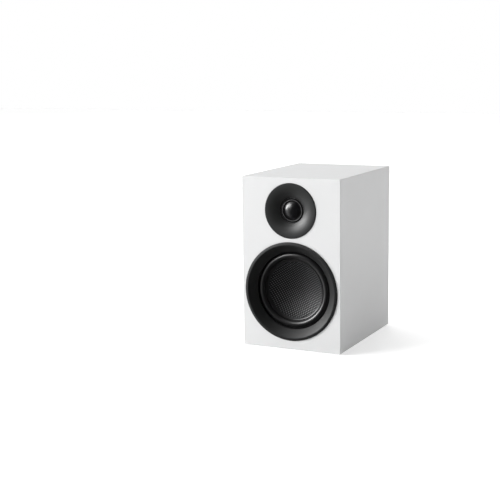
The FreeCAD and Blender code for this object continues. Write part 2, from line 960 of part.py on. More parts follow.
def add_blade(name, corner):
    """A push-on blade that stands out backwards."""
    return box(name, corner, ("blade_thickness", "blade_length", "blade_width"), listed=False)


# ---------------------------------------------------------------- tweeter


def add_waveguide():
    """Round faceplate that flares in to its throat like a shallow horn, with a skirt behind."""
    body = new_body("tweeter_waveguide", TWEETER)
    rim = "-faceplate_proud"
    revolved(
        body,
        "faceplate",
        [
            ("faceplate_radius", "faceplate_back"),
            ("faceplate_radius", f"{rim} + faceplate_edge"),
            ("faceplate_radius - faceplate_edge", rim, "faceplate_edge", "left"),
            ("bowl_mouth_radius + mouth_edge", rim),
            ("bowl_mouth_radius", f"{rim} + mouth_drop", "mouth_easing", "left"),
            ("throat_radius + throat_lip", "throat_depth - throat_lip", "waveguide_flare", "right"),
            ("throat_radius - throat_lip", "throat_depth + mouth_edge", "throat_easing", "right"),
            ("throat_radius - throat_lip", "motor_front"),
            ("tweeter_skirt_radius - tweeter_skirt_wall", "motor_front"),
            ("tweeter_skirt_radius - tweeter_skirt_wall", "tweeter_skirt_back"),
            ("tweeter_skirt_radius", "tweeter_skirt_back"),
            ("tweeter_skirt_radius", "faceplate_back"),
        ],
    )
    extruded(
        body,
        "clamp_screw_holes",
        draw_clamp_screw_circle,
        "tweeter_skirt_back - clamp_pilot_length",
        "clamp_pilot_length",
        cut=True,
    )


def draw_clamp_screw_circle(sketch):
    """The three screws that pull the tweeter in, the first one at the top."""
    count = SIZES["clamp_screw_count"]
    draw_circle_ring(sketch, "0", "clamp_screw_circle", "clamp_screw_core", count, first_angle=90)


def add_tweeter_gasket():
    """Foam ring between the faceplate and its rebate."""
    body = new_body("tweeter_gasket", TWEETER)

    def drawing(sketch):
        draw_circle(sketch, "0", "0", "faceplate_radius - fit_gap")
        draw_circle(sketch, "0", "0", "tweeter_skirt_radius + 2*fit_gap")

    extruded(body, "ring", drawing, "faceplate_back", "faceplate_rebate - faceplate_back")


def add_dome():
    """Soft dome with the short tube that carries the coil."""
    rim_depth = "(motor_front - dome_rim_set_forward)"
    inner = "(dome_radius - dome_thickness)"
    radius = "((dome_radius^2 + dome_height^2) / (2*dome_height))"
    apex = f"{rim_depth} - dome_height"
    dome = new_body("tweeter_dome", TWEETER)
    revolved(
        dome,
        "dome",
        [
            ("0", apex),
            ("dome_radius", rim_depth, radius, "left"),
            ("dome_radius", f"{rim_depth} + dome_skirt"),
            (inner, f"{rim_depth} + dome_skirt"),
            (inner, f"{apex} + {radius} - sqrt(({radius} - dome_thickness)^2 - {inner}^2)"),
            ("0", f"{apex} + dome_thickness", f"{radius} - dome_thickness", "right"),
        ],
    )
    add_winding(
        "tweeter_voice_coil",
        TWEETER,
        "dome_radius",
        "tweeter_coil_thickness",
        "motor_front + tweeter_coil_front",
        "tweeter_coil_length",
    )


def add_dome_surround():
    """The dome's narrow roll, and the ring that clamps its flat rim to the motor."""
    sheet = "tweeter_roll_sheet"
    face = f"(motor_front - {sheet})"
    surround = new_body("tweeter_surround", TWEETER)
    revolved(
        surround,
        "roll",
        [
            ("dome_radius", face + " - tweeter_roll_slope"),
            ("tweeter_roll_outer", face, "tweeter_roll_radius", "left"),
            ("throat_radius - 2*throat_lip", face),
            ("throat_radius - 2*throat_lip", "motor_front"),
            (f"tweeter_roll_outer - {sheet}", "motor_front"),
            (
                "dome_radius",
                "motor_front - tweeter_roll_slope",
                f"tweeter_roll_radius - {sheet}/2",
                "right",
            ),
        ],
    )
    ring = new_body("tweeter_dome_ring", TWEETER)
    crest, step = "dome_ring_radius + dome_ring_lip", "dome_ring_front + dome_ring_drop"
    revolved(
        ring,
        "ring",
        [
            ("dome_ring_radius", face),
            ("dome_ring_radius", "dome_ring_front"),
            (crest, "dome_ring_front", "dome_ring_bead", "left"),
            (f"{crest} + fit_gap", step),
            ("throat_radius - edge_break", step),
            ("throat_radius - edge_break", face),
        ],
    )


def add_tweeter_motor():
    """Top plate, magnet, vented yoke, and the closed chamber behind them."""
    plate_back = "motor_front + tweeter_plate_thickness"
    magnet_back = f"{plate_back} + tweeter_magnet_thickness"
    yoke_back = f"{magnet_back} + tweeter_yoke_thickness"
    plate = new_body("tweeter_top_plate", TWEETER)
    revolved(
        plate,
        "plate",
        [
            ("tweeter_gap_radius", "motor_front"),
            ("tweeter_plate_radius", "motor_front"),
            ("tweeter_plate_radius", plate_back),
            ("tweeter_gap_radius", plate_back),
        ],
    )
    magnet = new_body("tweeter_magnet", TWEETER)
    revolved(
        magnet,
        "ring",
        [
            ("tweeter_magnet_bore", plate_back),
            ("tweeter_plate_radius", plate_back),
            ("tweeter_plate_radius", magnet_back),
            ("tweeter_magnet_bore", magnet_back),
        ],
    )
    yoke = new_body("tweeter_yoke", TWEETER)
    chamber_inner = "(chamber_radius - chamber_wall)"
    yoke_radius = f"({chamber_inner} - press_gap)"
    pole_front = "motor_front + tweeter_pole_recess"
    revolved(
        yoke,
        "yoke",
        [
            ("tweeter_vent_radius", pole_front),
            ("tweeter_pole_radius", pole_front),
            ("tweeter_pole_radius", magnet_back),
            (yoke_radius, magnet_back),
            (yoke_radius, yoke_back),
            ("tweeter_vent_radius", yoke_back),
        ],
    )
    chamber = new_body("tweeter_rear_chamber", TWEETER)
    revolved(
        chamber,
        "cup",
        [
            (chamber_inner, f"{magnet_back} + edge_break"),
            ("chamber_radius", f"{magnet_back} + edge_break"),
            ("chamber_radius", "chamber_back - chamber_corner"),
            ("chamber_radius - chamber_corner", "chamber_back", "chamber_corner", "left"),
            ("0", "chamber_back"),
            ("0", "chamber_back - chamber_wall"),
            (chamber_inner, "chamber_back - chamber_wall"),
        ],
    )


def add_tweeter_clamp():
    """Ring behind the baffle that pulls the faceplate into its rebate with three screws."""
    body = new_body("tweeter_clamp", TWEETER)

    def drawing(sketch):
        draw_circle(sketch, "0", "0", "clamp_radius")
        draw_circle(sketch, "0", "0", "tweeter_skirt_radius - tweeter_skirt_wall")
        draw_clamp_screw_circle(sketch)

    extruded(body, "ring", drawing, "baffle_thickness", "clamp_thickness")
    screws = new_body("tweeter_screws", TWEETER)
    back = "baffle_thickness + clamp_thickness"
    head = extruded(
        screws,
        "head",
        lambda sketch: draw_circle(sketch, "0", "clamp_screw_circle", "clamp_screw_head"),
        back,
        "clamp_screw_head_height",
    )
    shank = extruded(
        screws,
        "shank",
        lambda sketch: draw_circle(sketch, "0", "clamp_screw_circle", "clamp_screw_core"),
        "baffle_thickness - clamp_screw_reach",
        "clamp_thickness + clamp_screw_reach",
    )
    repeated(screws, [head, shank], "clamp_screw_count")


def add_tweeter_terminals():
    back = FRONT + " + chamber_back"
    low = "foot_height + tweeter_height - blade_width/2"
    blades = []
    for name, side in (("left_blade", "-"), ("right_blade", "")):
        blades.append(add_blade(name, (f"{side}tweeter_blade_x - blade_thickness/2", back, low)))
    group("tweeter_terminals", blades)


# ---------------------------------------------------------------- rear


def add_port_tube():
    """Flared tube: a flange on the rear face, a quarter-round mouth, a straight run, a small flare."""
    body = new_body("port_tube", PORT)
    mouth = "(port_radius + port_flare)"
    inner_mouth, inner_end = "port_radius + port_inner_flare", "-port_length - port_inner_flare"
    revolved(
        body,
        "tube",
        [
            ("port_flange_radius", "0"),
            ("port_flange_radius", "trim_proud - port_flange_edge"),
            ("port_flange_radius - port_flange_edge", "trim_proud", "port_flange_edge", "left"),
            (mouth, "trim_proud"),
            ("port_radius", "trim_proud - port_flare", "port_flare", "right"),
            ("port_radius", "-port_length"),
            (inner_mouth, inner_end, "port_inner_flare", "right"),
            (inner_mouth, f"{inner_end} + port_wall"),
            ("port_radius + port_wall", "-port_length", "port_inner_flare - port_wall", "left"),
            ("port_radius + port_wall", "trim_proud - port_flare"),
            (mouth, "0", "port_flare - port_wall", "left"),
        ],
    )


def add_terminal_cup():
    """A flanged tub let into the rear panel, with a hole for each post in its floor."""
    body = new_body("terminal_cup", CUP)
    front = "(cup_flange_proud - cup_flange_thickness)"
    flange = rounded_rectangle("cup_flange_width/2", "cup_flange_height/2", "cup_corner")
    tub = rounded_rectangle("cup_width/2 + cup_wall", "cup_opening_height/2 + cup_wall", "cup_corner")
    hollow = rounded_rectangle("cup_width/2", "cup_opening_height/2", "cup_corner - cup_wall")
    extruded(body, "flange", lambda sketch: draw_outline(sketch, flange), front, "cup_flange_thickness")
    extruded(
        body,
        "tub",
        lambda sketch: draw_outline(sketch, tub),
        "-cup_depth_inside - cup_wall",
        f"cup_depth_inside + cup_wall + {front}",
    )
    extruded(
        body,
        "hollow",
        lambda sketch: draw_outline(sketch, hollow),
        "-cup_depth_inside",
        "cup_depth_inside + cup_flange_proud",
        cut=True,
    )

    def post_holes(sketch):
        for side in ("-", ""):
            draw_circle(sketch, f"{side}post_spacing/2", "0", "post_radius + press_gap")

    extruded(body, "post_holes", post_holes, "-cup_depth_inside - cup_wall", "cup_wall", cut=True)
    extruded(
        body,
        "screw_holes",
        lambda sketch: draw_four_circles(sketch, "cup_screw_x", "cup_screw_z", "cup_screw_core"),
        front,
        "cup_flange_thickness",
        cut=True,
    )


def add_cup_gasket():
    """Foam frame under the cup's flange."""
    body = new_body("terminal_cup_gasket", CUP)
    outer = rounded_rectangle(
        "cup_flange_width/2 - fit_gap", "cup_flange_height/2 - fit_gap", "cup_corner"
    )
    tub = "cup_wall + edge_break"
    inner = rounded_rectangle(f"cup_width/2 + {tub}", f"cup_opening_height/2 + {tub}", "cup_corner")

    def drawing(sketch):
        draw_outline(sketch, outer)
        draw_outline(sketch, inner)
        draw_four_circles(sketch, "cup_screw_x", "cup_screw_z", "cup_screw_core")

    back = "cup_flange_proud - cup_flange_thickness - cup_gasket_thickness"
    extruded(body, "ring", drawing, back, "cup_gasket_thickness")


def add_cup_screws():
    """Four pan-head screws with a cross recess, made once and mirrored to the other corners."""
    position = ("cup_screw_x", REAR, "foot_height + cup_height + cup_screw_z")
    body = new_body("cup_screw", position, listed=False)
    revolved(
        body,
        "screw",
        [
            ("0", "-cup_screw_length"),
            ("cup_screw_core", "-cup_screw_length + cup_screw_core"),
            ("cup_screw_core", "cup_flange_proud"),
            ("cup_screw_head", "cup_flange_proud"),
            ("cup_screw_head", "trim_proud - cup_screw_crown"),
            ("cup_screw_head - cup_screw_flat", "trim_proud", "cup_screw_easing", "left"),
            ("0", "trim_proud"),
        ],
    )
    extruded(
        body,
        "recess",
        draw_cross,
        "trim_proud - cross_recess_depth",
        "cross_recess_depth",
        cut=True,
    )
    across = mirrored("cup_screw_across", body, (1, 0, 0), ("0", "0", "0"))
    middle = ("0", "0", "foot_height + cup_height")
    below = [
        mirrored("cup_screw_below", body, (0, 0, 1), middle),
        mirrored("cup_screw_opposite", across, (0, 0, 1), middle),
    ]
    group("terminal_cup_screws", [body, across] + below)


def draw_cross(sketch):
    """The recess of a screw: two crossed bars."""
    arm, half = "cross_recess_arm", "cross_recess_width/2"
    quarter = [(arm, half), (half, half), (half, arm)]
    corners = list(quarter)
    for across, up in (("-", ""), ("-", "-"), ("", "-")):
        turned = [(f"{across}{x}", f"{up}{y}") for x, y in quarter]
        corners += turned if across == up else reversed(turned)
    draw_outline(sketch, corners)


def mirrored(name, source, normal, base):
    item = DOCUMENT.addObject("Part::Mirroring", name)
    item.Source = source
    item.Normal = FreeCAD.Vector(*normal)
    for axis, expression in zip("xyz", base):
        bind(item, "Base." + axis, expression)
    return item


def add_binding_post(name, side):
    """A hollow threaded stud with a hexagonal base, a captive collar and a fluted screw knob."""
    position = (f"{side}post_spacing/2", REAR, "foot_height + cup_height")
    floor = "-cup_depth_inside"
    base_top = f"({floor} + post_base)"
    post = new_body(f"{name}_post", position)
    extruded(
        post,
        "stud",
        lambda sketch: draw_circle(sketch, "0", "0", "post_radius"),
        f"{floor} - post_tail",
        "cup_depth_inside + post_tail + post_end",
    )
    across_flats = hexagon("post_base_across_flats")
    extruded(post, "base", lambda sketch: draw_outline(sketch, across_flats), floor, "post_base")
    extruded(
        post,
        "socket",
        lambda sketch: draw_circle(sketch, "0", "0", "socket_radius"),
        "post_end - socket_length",
        "socket_length",
        cut=True,
    )
    crossing = new_sketch(post, "wire_hole_outline", "XY_Plane")
    draw_circle(crossing, "0", f"{base_top} + wire_hole_radius", "wire_hole_radius")
    wire_hole = post.newObject("PartDesign::Pocket", "wire_hole")
    wire_hole.Profile = crossing
    wire_hole.Type = "ThroughAll"
    wire_hole.Midplane = True
    bore = "post_radius + knob_bore_clearance"
    collar = new_body(f"{name}_collar", position)
    collar_top = f"({base_top} + collar_thickness)"
    revolved(
        collar,
        "collar",
        [
            (bore, base_top),
            ("collar_radius", base_top),
            ("collar_radius", f"{collar_top} - edge_break"),
            ("collar_radius - edge_break", collar_top),
            (bore, collar_top),
        ],
    )
    knob = new_body(f"{name}_knob", position)
    knob_top = f"({collar_top} + knob_length)"
    seat = f"({knob_top} - knob_ring_thickness)"
    revolved(
        knob,
        "knob",
        [
            (bore, collar_top),
            ("knob_radius - knob_edge", collar_top),
            ("knob_radius", f"{collar_top} + knob_edge"),
            ("knob_radius", f"{seat} - edge_break"),
            ("knob_radius - edge_break", seat),
            ("knob_ring_inner", seat),
            ("knob_ring_inner", knob_top),
            (bore, knob_top),
        ],
    )
    flute = extruded(
        knob,
        "flute",
        lambda sketch: draw_circle(sketch, "knob_radius + knob_flute_offset", "0", "knob_flute_radius"),
        f"{collar_top} + knob_flute_margin",
        "knob_length - knob_ring_thickness - 2*knob_flute_margin",
        cut=True,
    )
    repeated(knob, [flute], "knob_flute_count")
    ring = new_body(f"{name}_knob_ring", position)
    revolved(
        ring,
        "ring",
        [
            ("knob_ring_inner", seat),
            ("knob_radius - edge_break", seat),
            ("knob_radius - edge_break", f"{knob_top} - knob_ring_easing"),
            ("knob_radius - edge_break - knob_ring_easing", knob_top, "knob_ring_easing", "left"),
            ("knob_ring_inner", knob_top),
        ],
    )


def add_post_fasteners():
    """Inside the cabinet, each stud takes a solder lug and a hexagonal nut."""
    floor_back = "-cup_depth_inside - cup_wall"
    lug_body = new_body("solder_lugs", CUP)

    def lugs(sketch):
        for side in ("-", ""):
            x = f"{side}post_spacing/2"
            draw_outline(
                sketch,
                [
                    (f"{x} + lug_radius*0.8", "-lug_radius*0.6"),
                    (f"{x} + lug_radius*0.8", "lug_radius*0.6"),
                    (f"{x} - lug_radius*0.8", "lug_radius*0.6", "lug_radius", "left"),
                    (f"{x} - lug_radius*0.8", "-lug_radius*0.6"),
                    (f"{x} - lug_tongue_width/2", "-lug_tongue"),
                    (f"{x} + lug_tongue_width/2", "-lug_tongue"),
                ],
            )
            draw_circle(sketch, x, "0", "post_radius")

    extruded(lug_body, "lugs", lugs, f"{floor_back} - lug_thickness", "lug_thickness")
    nut_body = new_body("post_nuts", CUP)

    def nuts(sketch):
        for side in ("-", ""):
            x = f"{side}post_spacing/2"
            draw_outline(sketch, [(f"{x} + {a}", b) for a, b in hexagon("post_nut_across_flats")])
            draw_circle(sketch, x, "0", "post_radius")

    extruded(
        nut_body, "nuts", nuts, f"{floor_back} - lug_thickness - post_nut_thickness", "post_nut_thickness"
    )


# ---------------------------------------------------------------- crossover


BOARD_LOW = "foot_height + panel_thickness + standoff_height"
BOARD_TOP = BOARD_LOW + " + board_thickness"
BOARD_FRONT = FRONT + " + board_front"
BOARD_MIDDLE = BOARD_FRONT + " + board_length/2"


def add_crossover_board():
    """The board and the four standoffs under its corners."""
    half_x, half_y = "board_width/2 - standoff_inset", "board_length/2 - standoff_inset"
    corner = ("-board_width/2", BOARD_FRONT, BOARD_LOW)
    box("crossover_board", corner, ("board_width", "board_length", "board_thickness"))
    body = new_body("crossover_standoffs", ("0", BOARD_MIDDLE, "foot_height + panel_thickness"))
    sketch = new_sketch(body, "standoffs_outline", "XY_Plane")
    draw_four_circles(sketch, half_x, half_y, "standoff_radius")
    posts = body.newObject("PartDesign::Pad", "standoffs")
    posts.Profile = sketch
    bind(posts, "Length", "standoff_height")


def add_crossover_coils():
    """Two air-core coils that stand on the board, as rings of wire: radius, bore, height, place."""
    body = new_body("crossover_coils", ("0", BOARD_FRONT, BOARD_TOP))
    for name, x, y, radius, bore, height in (
        ("woofer_coil", "22", "36", "17", "8", "15"),
        ("tweeter_coil", "-28", "66", "11", "5", "12"),
    ):
        sketch = new_sketch(body, name + "_outline", "XY_Plane")
        draw_circle(sketch, x, y, radius)
        draw_circle(sketch, x, y, bore)
        winding = body.newObject("PartDesign::Pad", name)
        winding.Profile = sketch
        bind(winding, "Length", height)


def add_capacitors():
    """Film capacitors lying on the board, each a cylinder along X: left end and distance back."""
    cans = []
    ends = (("-38", "29"), ("-38", "46"), ("13", "68"))
    for number, (left, back) in enumerate(ends, start=1):
        can = DOCUMENT.addObject("Part::Cylinder", f"capacitor_{number}")
        bind(can, "Radius", "capacitor_radius")
        bind(can, "Height", "capacitor_length")
        can.Placement.Rotation = FreeCAD.Rotation(FreeCAD.Vector(0, 1, 0), 90)
        place(can, (left, f"{BOARD_FRONT} + {back}", f"{BOARD_TOP} + capacitor_radius"))
        cans.append(can)
    group("crossover_capacitors", cans)


def add_resistors():
    """Ceramic power resistors: left end and distance back of each block."""
    blocks = []
    for number, (left, back) in enumerate((("-18", "4"), ("-44", "3")), start=1):
        blocks.append(
            box(
                f"resistor_{number}",
                (left, f"{BOARD_FRONT} + {back}", BOARD_TOP),
                ("resistor_length", "resistor_height", "resistor_height"),
                listed=False,
            )
        )
    group("crossover_resistors", blocks)


# ---------------------------------------------------------------- leads


def lead_path(points):
    """Straight runs joined by tangent arcs, each as large as its two runs allow."""
    edges = []
    here = points[0]
    for before, corner, after in zip(points, points[1:], points[2:]):
        arriving = corner - before
        leaving = after - corner
        turn = arriving.getAngle(leaving)
        reach = 0.45 * min(arriving.Length, leaving.Length)
        radius = reach / math.tan(turn / 2)
        inward, onward = arriving.normalize(), leaving.normalize()
        start, end = corner - inward * reach, corner + onward * reach
        bisector = (onward - inward).normalize()
        centre = corner + bisector * (radius / math.cos(turn / 2))
        edges.append(Part.LineSegment(here, start).toShape())
        edges.append(Part.Arc(start, centre - bisector * radius, end).toShape())
        here = end
    edges.append(Part.LineSegment(here, points[-1]).toShape())
    return Part.Wire(edges)


def lead_tube(points, radius):
    path = lead_path(points)
    direction = points[1] - points[0]
    section = Part.Wire([Part.Circle(points[0], direction, radius).toShape()])
    tube = path.makePipeShell([section], True, False)
    expected = math.pi * radius**2 * path.Length
    if abs(tube.Volume - expected) > 0.02 * expected:
        raise RuntimeError("a lead's volume is not its section times its length")
    return tube


def add_leads(label, routes, radius):
    """Routes of (sideways, depth from the front face, height from the cabinet's bottom) points."""
    front, bottom = value(FRONT), value("foot_height")
    tubes = []
    for route in routes:
        points = [FreeCAD.Vector(x, depth + front, height + bottom) for x, depth, height in route]
        tubes.append(lead_tube(points, value(radius)))
    item = DOCUMENT.addObject("Part::Feature", label)
    item.Shape = Part.Compound(tubes)
    keep(item, label)


def add_input_leads():
    """From each solder lug down to the board."""
    lug_face = value("cabinet_depth - cup_depth_inside - cup_wall - lug_thickness")
    lug_height = value("cup_height - lug_tongue + 2")
    board_top = value("panel_thickness + standoff_height + board_thickness")
    routes = []
    for side in (-1, 1):
        x = side * value("post_spacing/2")
        routes.append(
            [
                (x, lug_face, lug_height),
                (x, lug_face - 9, lug_height),
                (x, lug_face - 18, lug_height - 12),
                (x, lug_face - 18, board_top),
            ]
        )
    add_leads("input_leads", routes, "lead_radius")


def add_woofer_leads():
    """From the board, between the magnet and the side pad, to the blades behind the spider ledge."""
    board_top = value("panel_thickness + standoff_height + board_thickness")
    blade_x = value("neck_radius + 11.4")
    blade_end = value("ledge_depth + basket_wall + 9.6")
    middle = value("woofer_height")
    routes = []
    for side in (-1, 1):
        routes.append(
            [
                (blade_x, blade_end, middle + side * 4.4),
                (blade_x, blade_end + 12, middle + side * 4.4),
                (blade_x - 4, blade_end + 30, middle - 24 + side * 3),
                (30 + side * 3, blade_end + 50, middle - 42),
                (30 + side * 3, blade_end + 50, board_top),
            ]
        )
    add_leads("woofer_leads", routes, "lead_radius")


def add_tweeter_leads():
    """From the board up through the brace's window to the blades behind the tweeter's chamber."""
    board_top = value("panel_thickness + standoff_height + board_thickness")
    blade_end = value("chamber_back + 8")
    middle = value("tweeter_height")
    routes = []
    for side in (-1, 1):
        routes.append(
            [
                (side * 4.5, blade_end, middle),
                (side * 4.5, blade_end + 14, middle),
                (-26 + side * 3, blade_end + 26, middle - 34),
                (-31 + side * 3, blade_end + 34, middle - 80),
                (-30 + side * 3, blade_end + 58, middle - 130),
                (-30 + side * 3, blade_end + 58, board_top),
            ]
        )
    add_leads("tweeter_leads", routes, "lead_radius")


def add_tinsel_leads():
    """Flexible braid from the terminal board, through a basket window, to the back of the cone."""
    board_face = value("ledge_depth + basket_wall")
    middle = value("woofer_height")
    start_x = value("neck_radius + 12.6")
    routes = []
    for side in (-1, 1):
        height = middle + side * 4.4
        routes.append(
            [
                (start_x, board_face, height),
                (start_x, board_face - 9, height),
                (start_x - 13, board_face - 13.5, height),
                (25, board_face - 14.2, height),
            ]
        )
    add_leads("woofer_tinsel_leads", routes, "tinsel_radius")


# ---------------------------------------------------------------- build and export


def build():
    fill_sheet()
    add_front_baffle()
    add_mitred_panels()
    add_rear_panel()
    add_window_brace()
    add_feet()
    add_damping_pads()
    add_trim_ring()
    add_woofer_gasket()
    add_woofer_basket()
    add_woofer_screws()
    add_surround()
    add_cone()
    add_coil_former()
    add_voice_coil()
    add_spider()
    add_woofer_motor()
    add_woofer_terminals()
    add_tinsel_leads()
    add_waveguide()
    add_tweeter_gasket()
    add_dome()
    add_dome_surround()
    add_tweeter_motor()
    add_tweeter_clamp()
    add_tweeter_terminals()
    add_port_tube()
    add_terminal_cup()
    add_cup_gasket()
    add_cup_screws()
    add_binding_post("positive", "-")
    add_binding_post("negative", "")
    add_post_fasteners()
    add_crossover_board()
    add_crossover_coils()
    add_capacitors()
    add_resistors()
    add_input_leads()
    add_woofer_leads()
    add_tweeter_leads()
    DOCUMENT.recompute()


def check():
    """Stop if any object failed to build or any piece is empty or not valid."""
    for item in DOCUMENT.Objects:
        if "Invalid" in item.State or "Error" in item.State:
            raise RuntimeError(f"{item.Label} did not build: {item.State}")
    for piece in PIECES:
        if piece.Shape.isNull() or not piece.Shape.isValid() or not piece.Shape.Solids:
            raise RuntimeError(f"{piece.Label} has no valid solid")


def export():
    os.makedirs("parts", exist_ok=True)
    for piece in PIECES:
        piece.Shape.exportStep(f"parts/{piece.Label}.step")


build()
check()
export()
print(f"{len(PIECES)} pieces written")
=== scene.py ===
"""Looks of a two-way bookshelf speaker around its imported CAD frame.

Metres, +Z up, the front faces -Y. Sections of round pieces are written in millimetres, as radii
and as depths behind the baffle's front face.
"""

import bpy
import bmesh
import math
import numpy
from mathutils import Matrix, Vector
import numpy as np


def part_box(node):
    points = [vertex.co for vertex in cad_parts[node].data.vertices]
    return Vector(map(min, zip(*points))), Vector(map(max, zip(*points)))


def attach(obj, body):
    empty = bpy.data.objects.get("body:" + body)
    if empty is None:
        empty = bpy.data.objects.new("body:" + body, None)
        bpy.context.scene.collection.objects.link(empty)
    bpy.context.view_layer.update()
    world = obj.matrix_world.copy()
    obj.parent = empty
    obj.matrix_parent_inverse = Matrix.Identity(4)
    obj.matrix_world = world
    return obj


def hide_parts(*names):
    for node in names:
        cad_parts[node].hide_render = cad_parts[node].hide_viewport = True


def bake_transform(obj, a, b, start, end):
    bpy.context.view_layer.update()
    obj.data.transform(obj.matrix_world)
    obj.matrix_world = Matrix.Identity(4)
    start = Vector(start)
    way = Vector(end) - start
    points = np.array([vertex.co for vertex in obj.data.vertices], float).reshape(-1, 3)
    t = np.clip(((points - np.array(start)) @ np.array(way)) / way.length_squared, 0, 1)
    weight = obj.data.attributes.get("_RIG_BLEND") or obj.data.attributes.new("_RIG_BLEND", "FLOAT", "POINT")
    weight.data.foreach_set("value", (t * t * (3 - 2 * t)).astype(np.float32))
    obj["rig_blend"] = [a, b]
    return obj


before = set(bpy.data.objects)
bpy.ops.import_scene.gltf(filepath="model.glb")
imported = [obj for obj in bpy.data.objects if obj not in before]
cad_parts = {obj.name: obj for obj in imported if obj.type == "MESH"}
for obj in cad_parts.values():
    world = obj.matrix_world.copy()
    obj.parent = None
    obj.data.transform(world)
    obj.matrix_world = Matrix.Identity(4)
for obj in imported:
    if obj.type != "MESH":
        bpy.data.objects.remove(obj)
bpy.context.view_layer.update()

MM = 0.001
WHITE = (1, 1, 1, 1)

# The cone's weave: millimetres from yarn to yarn, and its turn from the vertical.
YARN_PITCH = 2.0
WEAVE_TURN = math.radians(-15)

# How finely meshes are made. Corners that turn less than SHARP_TURN aren't eased.
LATHE_STEPS = 288
ARC_STEPS = 24
EASING_STEPS = 4
BAR_SIDES = 12
CORNER_CUTS = 4
SHARP_TURN = math.radians(22)
ON_AXIS = 1e-6


# ---------------------------------------------------------------- where things are


def centre_of(node):
    low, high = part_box(node)
    return (Vector(low) + Vector(high)) / 2


FRONT_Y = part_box("front_baffle")[0][1]
REAR_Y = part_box("rear_panel")[1][1]
WOOFER = Vector((0, FRONT_Y, centre_of("woofer_trim_ring").z))
TWEETER = Vector((0, FRONT_Y, centre_of("tweeter_waveguide").z))
MIDDLE = Vector((0, 0, 0.12))


# ---------------------------------------------------------------- mesh building


def new_object(name, vertices, faces, body=None, sharp_angle=math.radians(35)):
    """A smooth-shaded piece with its edges sharp past sharp_angle, riding on a CAD body if one is named."""
    mesh = bpy.data.meshes.new(name)
    mesh.from_pydata(vertices, [], faces)
    shape = bmesh.new()
    shape.from_mesh(mesh)
    bmesh.ops.recalc_face_normals(shape, faces=shape.faces)
    shape.to_mesh(mesh)
    shape.free()
    mesh.shade_smooth()
    mesh.set_sharp_from_angle(angle=sharp_angle)
    item = bpy.data.objects.new(name, mesh)
    bpy.context.scene.collection.objects.link(item)
    if body:
        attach(item, body)
    return item


def arc_points(start, end, radius, turns_left, steps):
    """Points after start up to end on the short arc between them."""
    start, end = Vector(start), Vector(end)
    chord = end - start
    sideways = Vector((-chord.y, chord.x)).normalized()
    height = math.sqrt(max(radius**2 - chord.length**2 / 4, 0))
    centre = (start + end) / 2 + sideways * (height if turns_left else -height)
    first = math.atan2(start.y - centre.y, start.x - centre.x)
    last = math.atan2(end.y - centre.y, end.x - centre.x)
    if turns_left and last < first:
        last += 2 * math.pi
    if not turns_left and last > first:
        last -= 2 * math.pi
    angles = [first + (last - first) * step / steps for step in range(1, steps + 1)]
    return [centre + Vector((math.cos(a), math.sin(a))) * radius for a in angles]


def section(corners, easing, arc_steps):
    """A closed outline from corners (radius, depth) or (radius, depth, arc radius, side of its centre).

    An arc runs from the corner before to its own. Every sharp corner off the axis is eased by a small
    round of the given size.
    """
    points = []
    for index, corner in enumerate(corners):
        if len(corner) == 2:
            points.append(Vector(corner))
        else:
            points += arc_points(
                corners[index - 1][:2], corner[:2], corner[2], corner[3] == "left", arc_steps
            )
    eased = []
    for index, here in enumerate(points):
        before = points[index - 1] - here
        after = points[(index + 1) % len(points)] - here
        turn = math.pi - before.angle(after, math.pi)
        if turn < SHARP_TURN or here.x < ON_AXIS:
            eased.append(here)
            continue
        reach = min(easing, 0.45 * before.length, 0.45 * after.length)
        start = here + before.normalized() * reach
        end = here + after.normalized() * reach
        for step in range(EASING_STEPS + 1):
            t = step / EASING_STEPS
            eased.append(start * (1 - t) ** 2 + here * 2 * t * (1 - t) + end * t**2)
    return eased


def lathe(name, corners, centre, body=None, easing=0.2, steps=LATHE_STEPS, arc_steps=ARC_STEPS):
    """Turn a section about the Y axis through centre. A point on the axis is shared by every step."""
    vertices = []
    rings = []
    for point in section(corners, easing, arc_steps):
        if point.x < ON_AXIS:
            rings.append([len(vertices)] * steps)
            vertices.append(centre + Vector((0, point.y * MM, 0)))
            continue
        rings.append(list(range(len(vertices), len(vertices) + steps)))
        for step in range(steps):
            angle = 2 * math.pi * step / steps
            radius = point.x * MM
            offset = Vector((radius * math.cos(angle), point.y * MM, radius * math.sin(angle)))
            vertices.append(centre + offset)
    faces = []
    for index, ring in enumerate(rings):
        following = rings[(index + 1) % len(rings)]
        for step in range(steps):
            other = (step + 1) % steps
            face = list(dict.fromkeys([ring[step], ring[other], following[other], following[step]]))
            if len(face) > 2:
                faces.append(face)
    return new_object(name, vertices, faces, body)


def rounded_path(points):
    """The points with their corners cut again and again, both ends kept."""
    for _ in range(CORNER_CUTS):
        cut = [points[0]]
        for here, after in zip(points, points[1:]):
            cut += [here.lerp(after, 0.25), here.lerp(after, 0.75)]
        points = cut + [points[-1]]
    return points


def tube(name, points, radius):
    """A round bar along a level path, closed at both ends."""
    sides = BAR_SIDES
    vertices = []
    for index, place in enumerate(points):
        ahead = points[min(index + 1, len(points) - 1)] - points[max(index - 1, 0)]
        across = ahead.cross(Vector((0, 0, 1))).normalized()
        upwards = across.cross(ahead).normalized()
        for side in range(sides):
            angle = 2 * math.pi * side / sides
            outwards = across * math.cos(angle) + upwards * math.sin(angle)
            vertices.append(place + outwards * radius)
    faces = [tuple(range(sides)), tuple(range(len(vertices) - sides, len(vertices)))]
    for start in range(0, len(vertices) - sides, sides):
        for side in range(sides):
            other = (side + 1) % sides
            faces.append((start + side, start + other, start + sides + other, start + sides + side))
    return new_object(name, vertices, faces)


def finish_piece(item, material, replaced=None):
    """Give a piece its material, and hide the CAD node that it stands in for."""
    item.data.materials.append(material)
    if replaced:
        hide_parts(replaced)


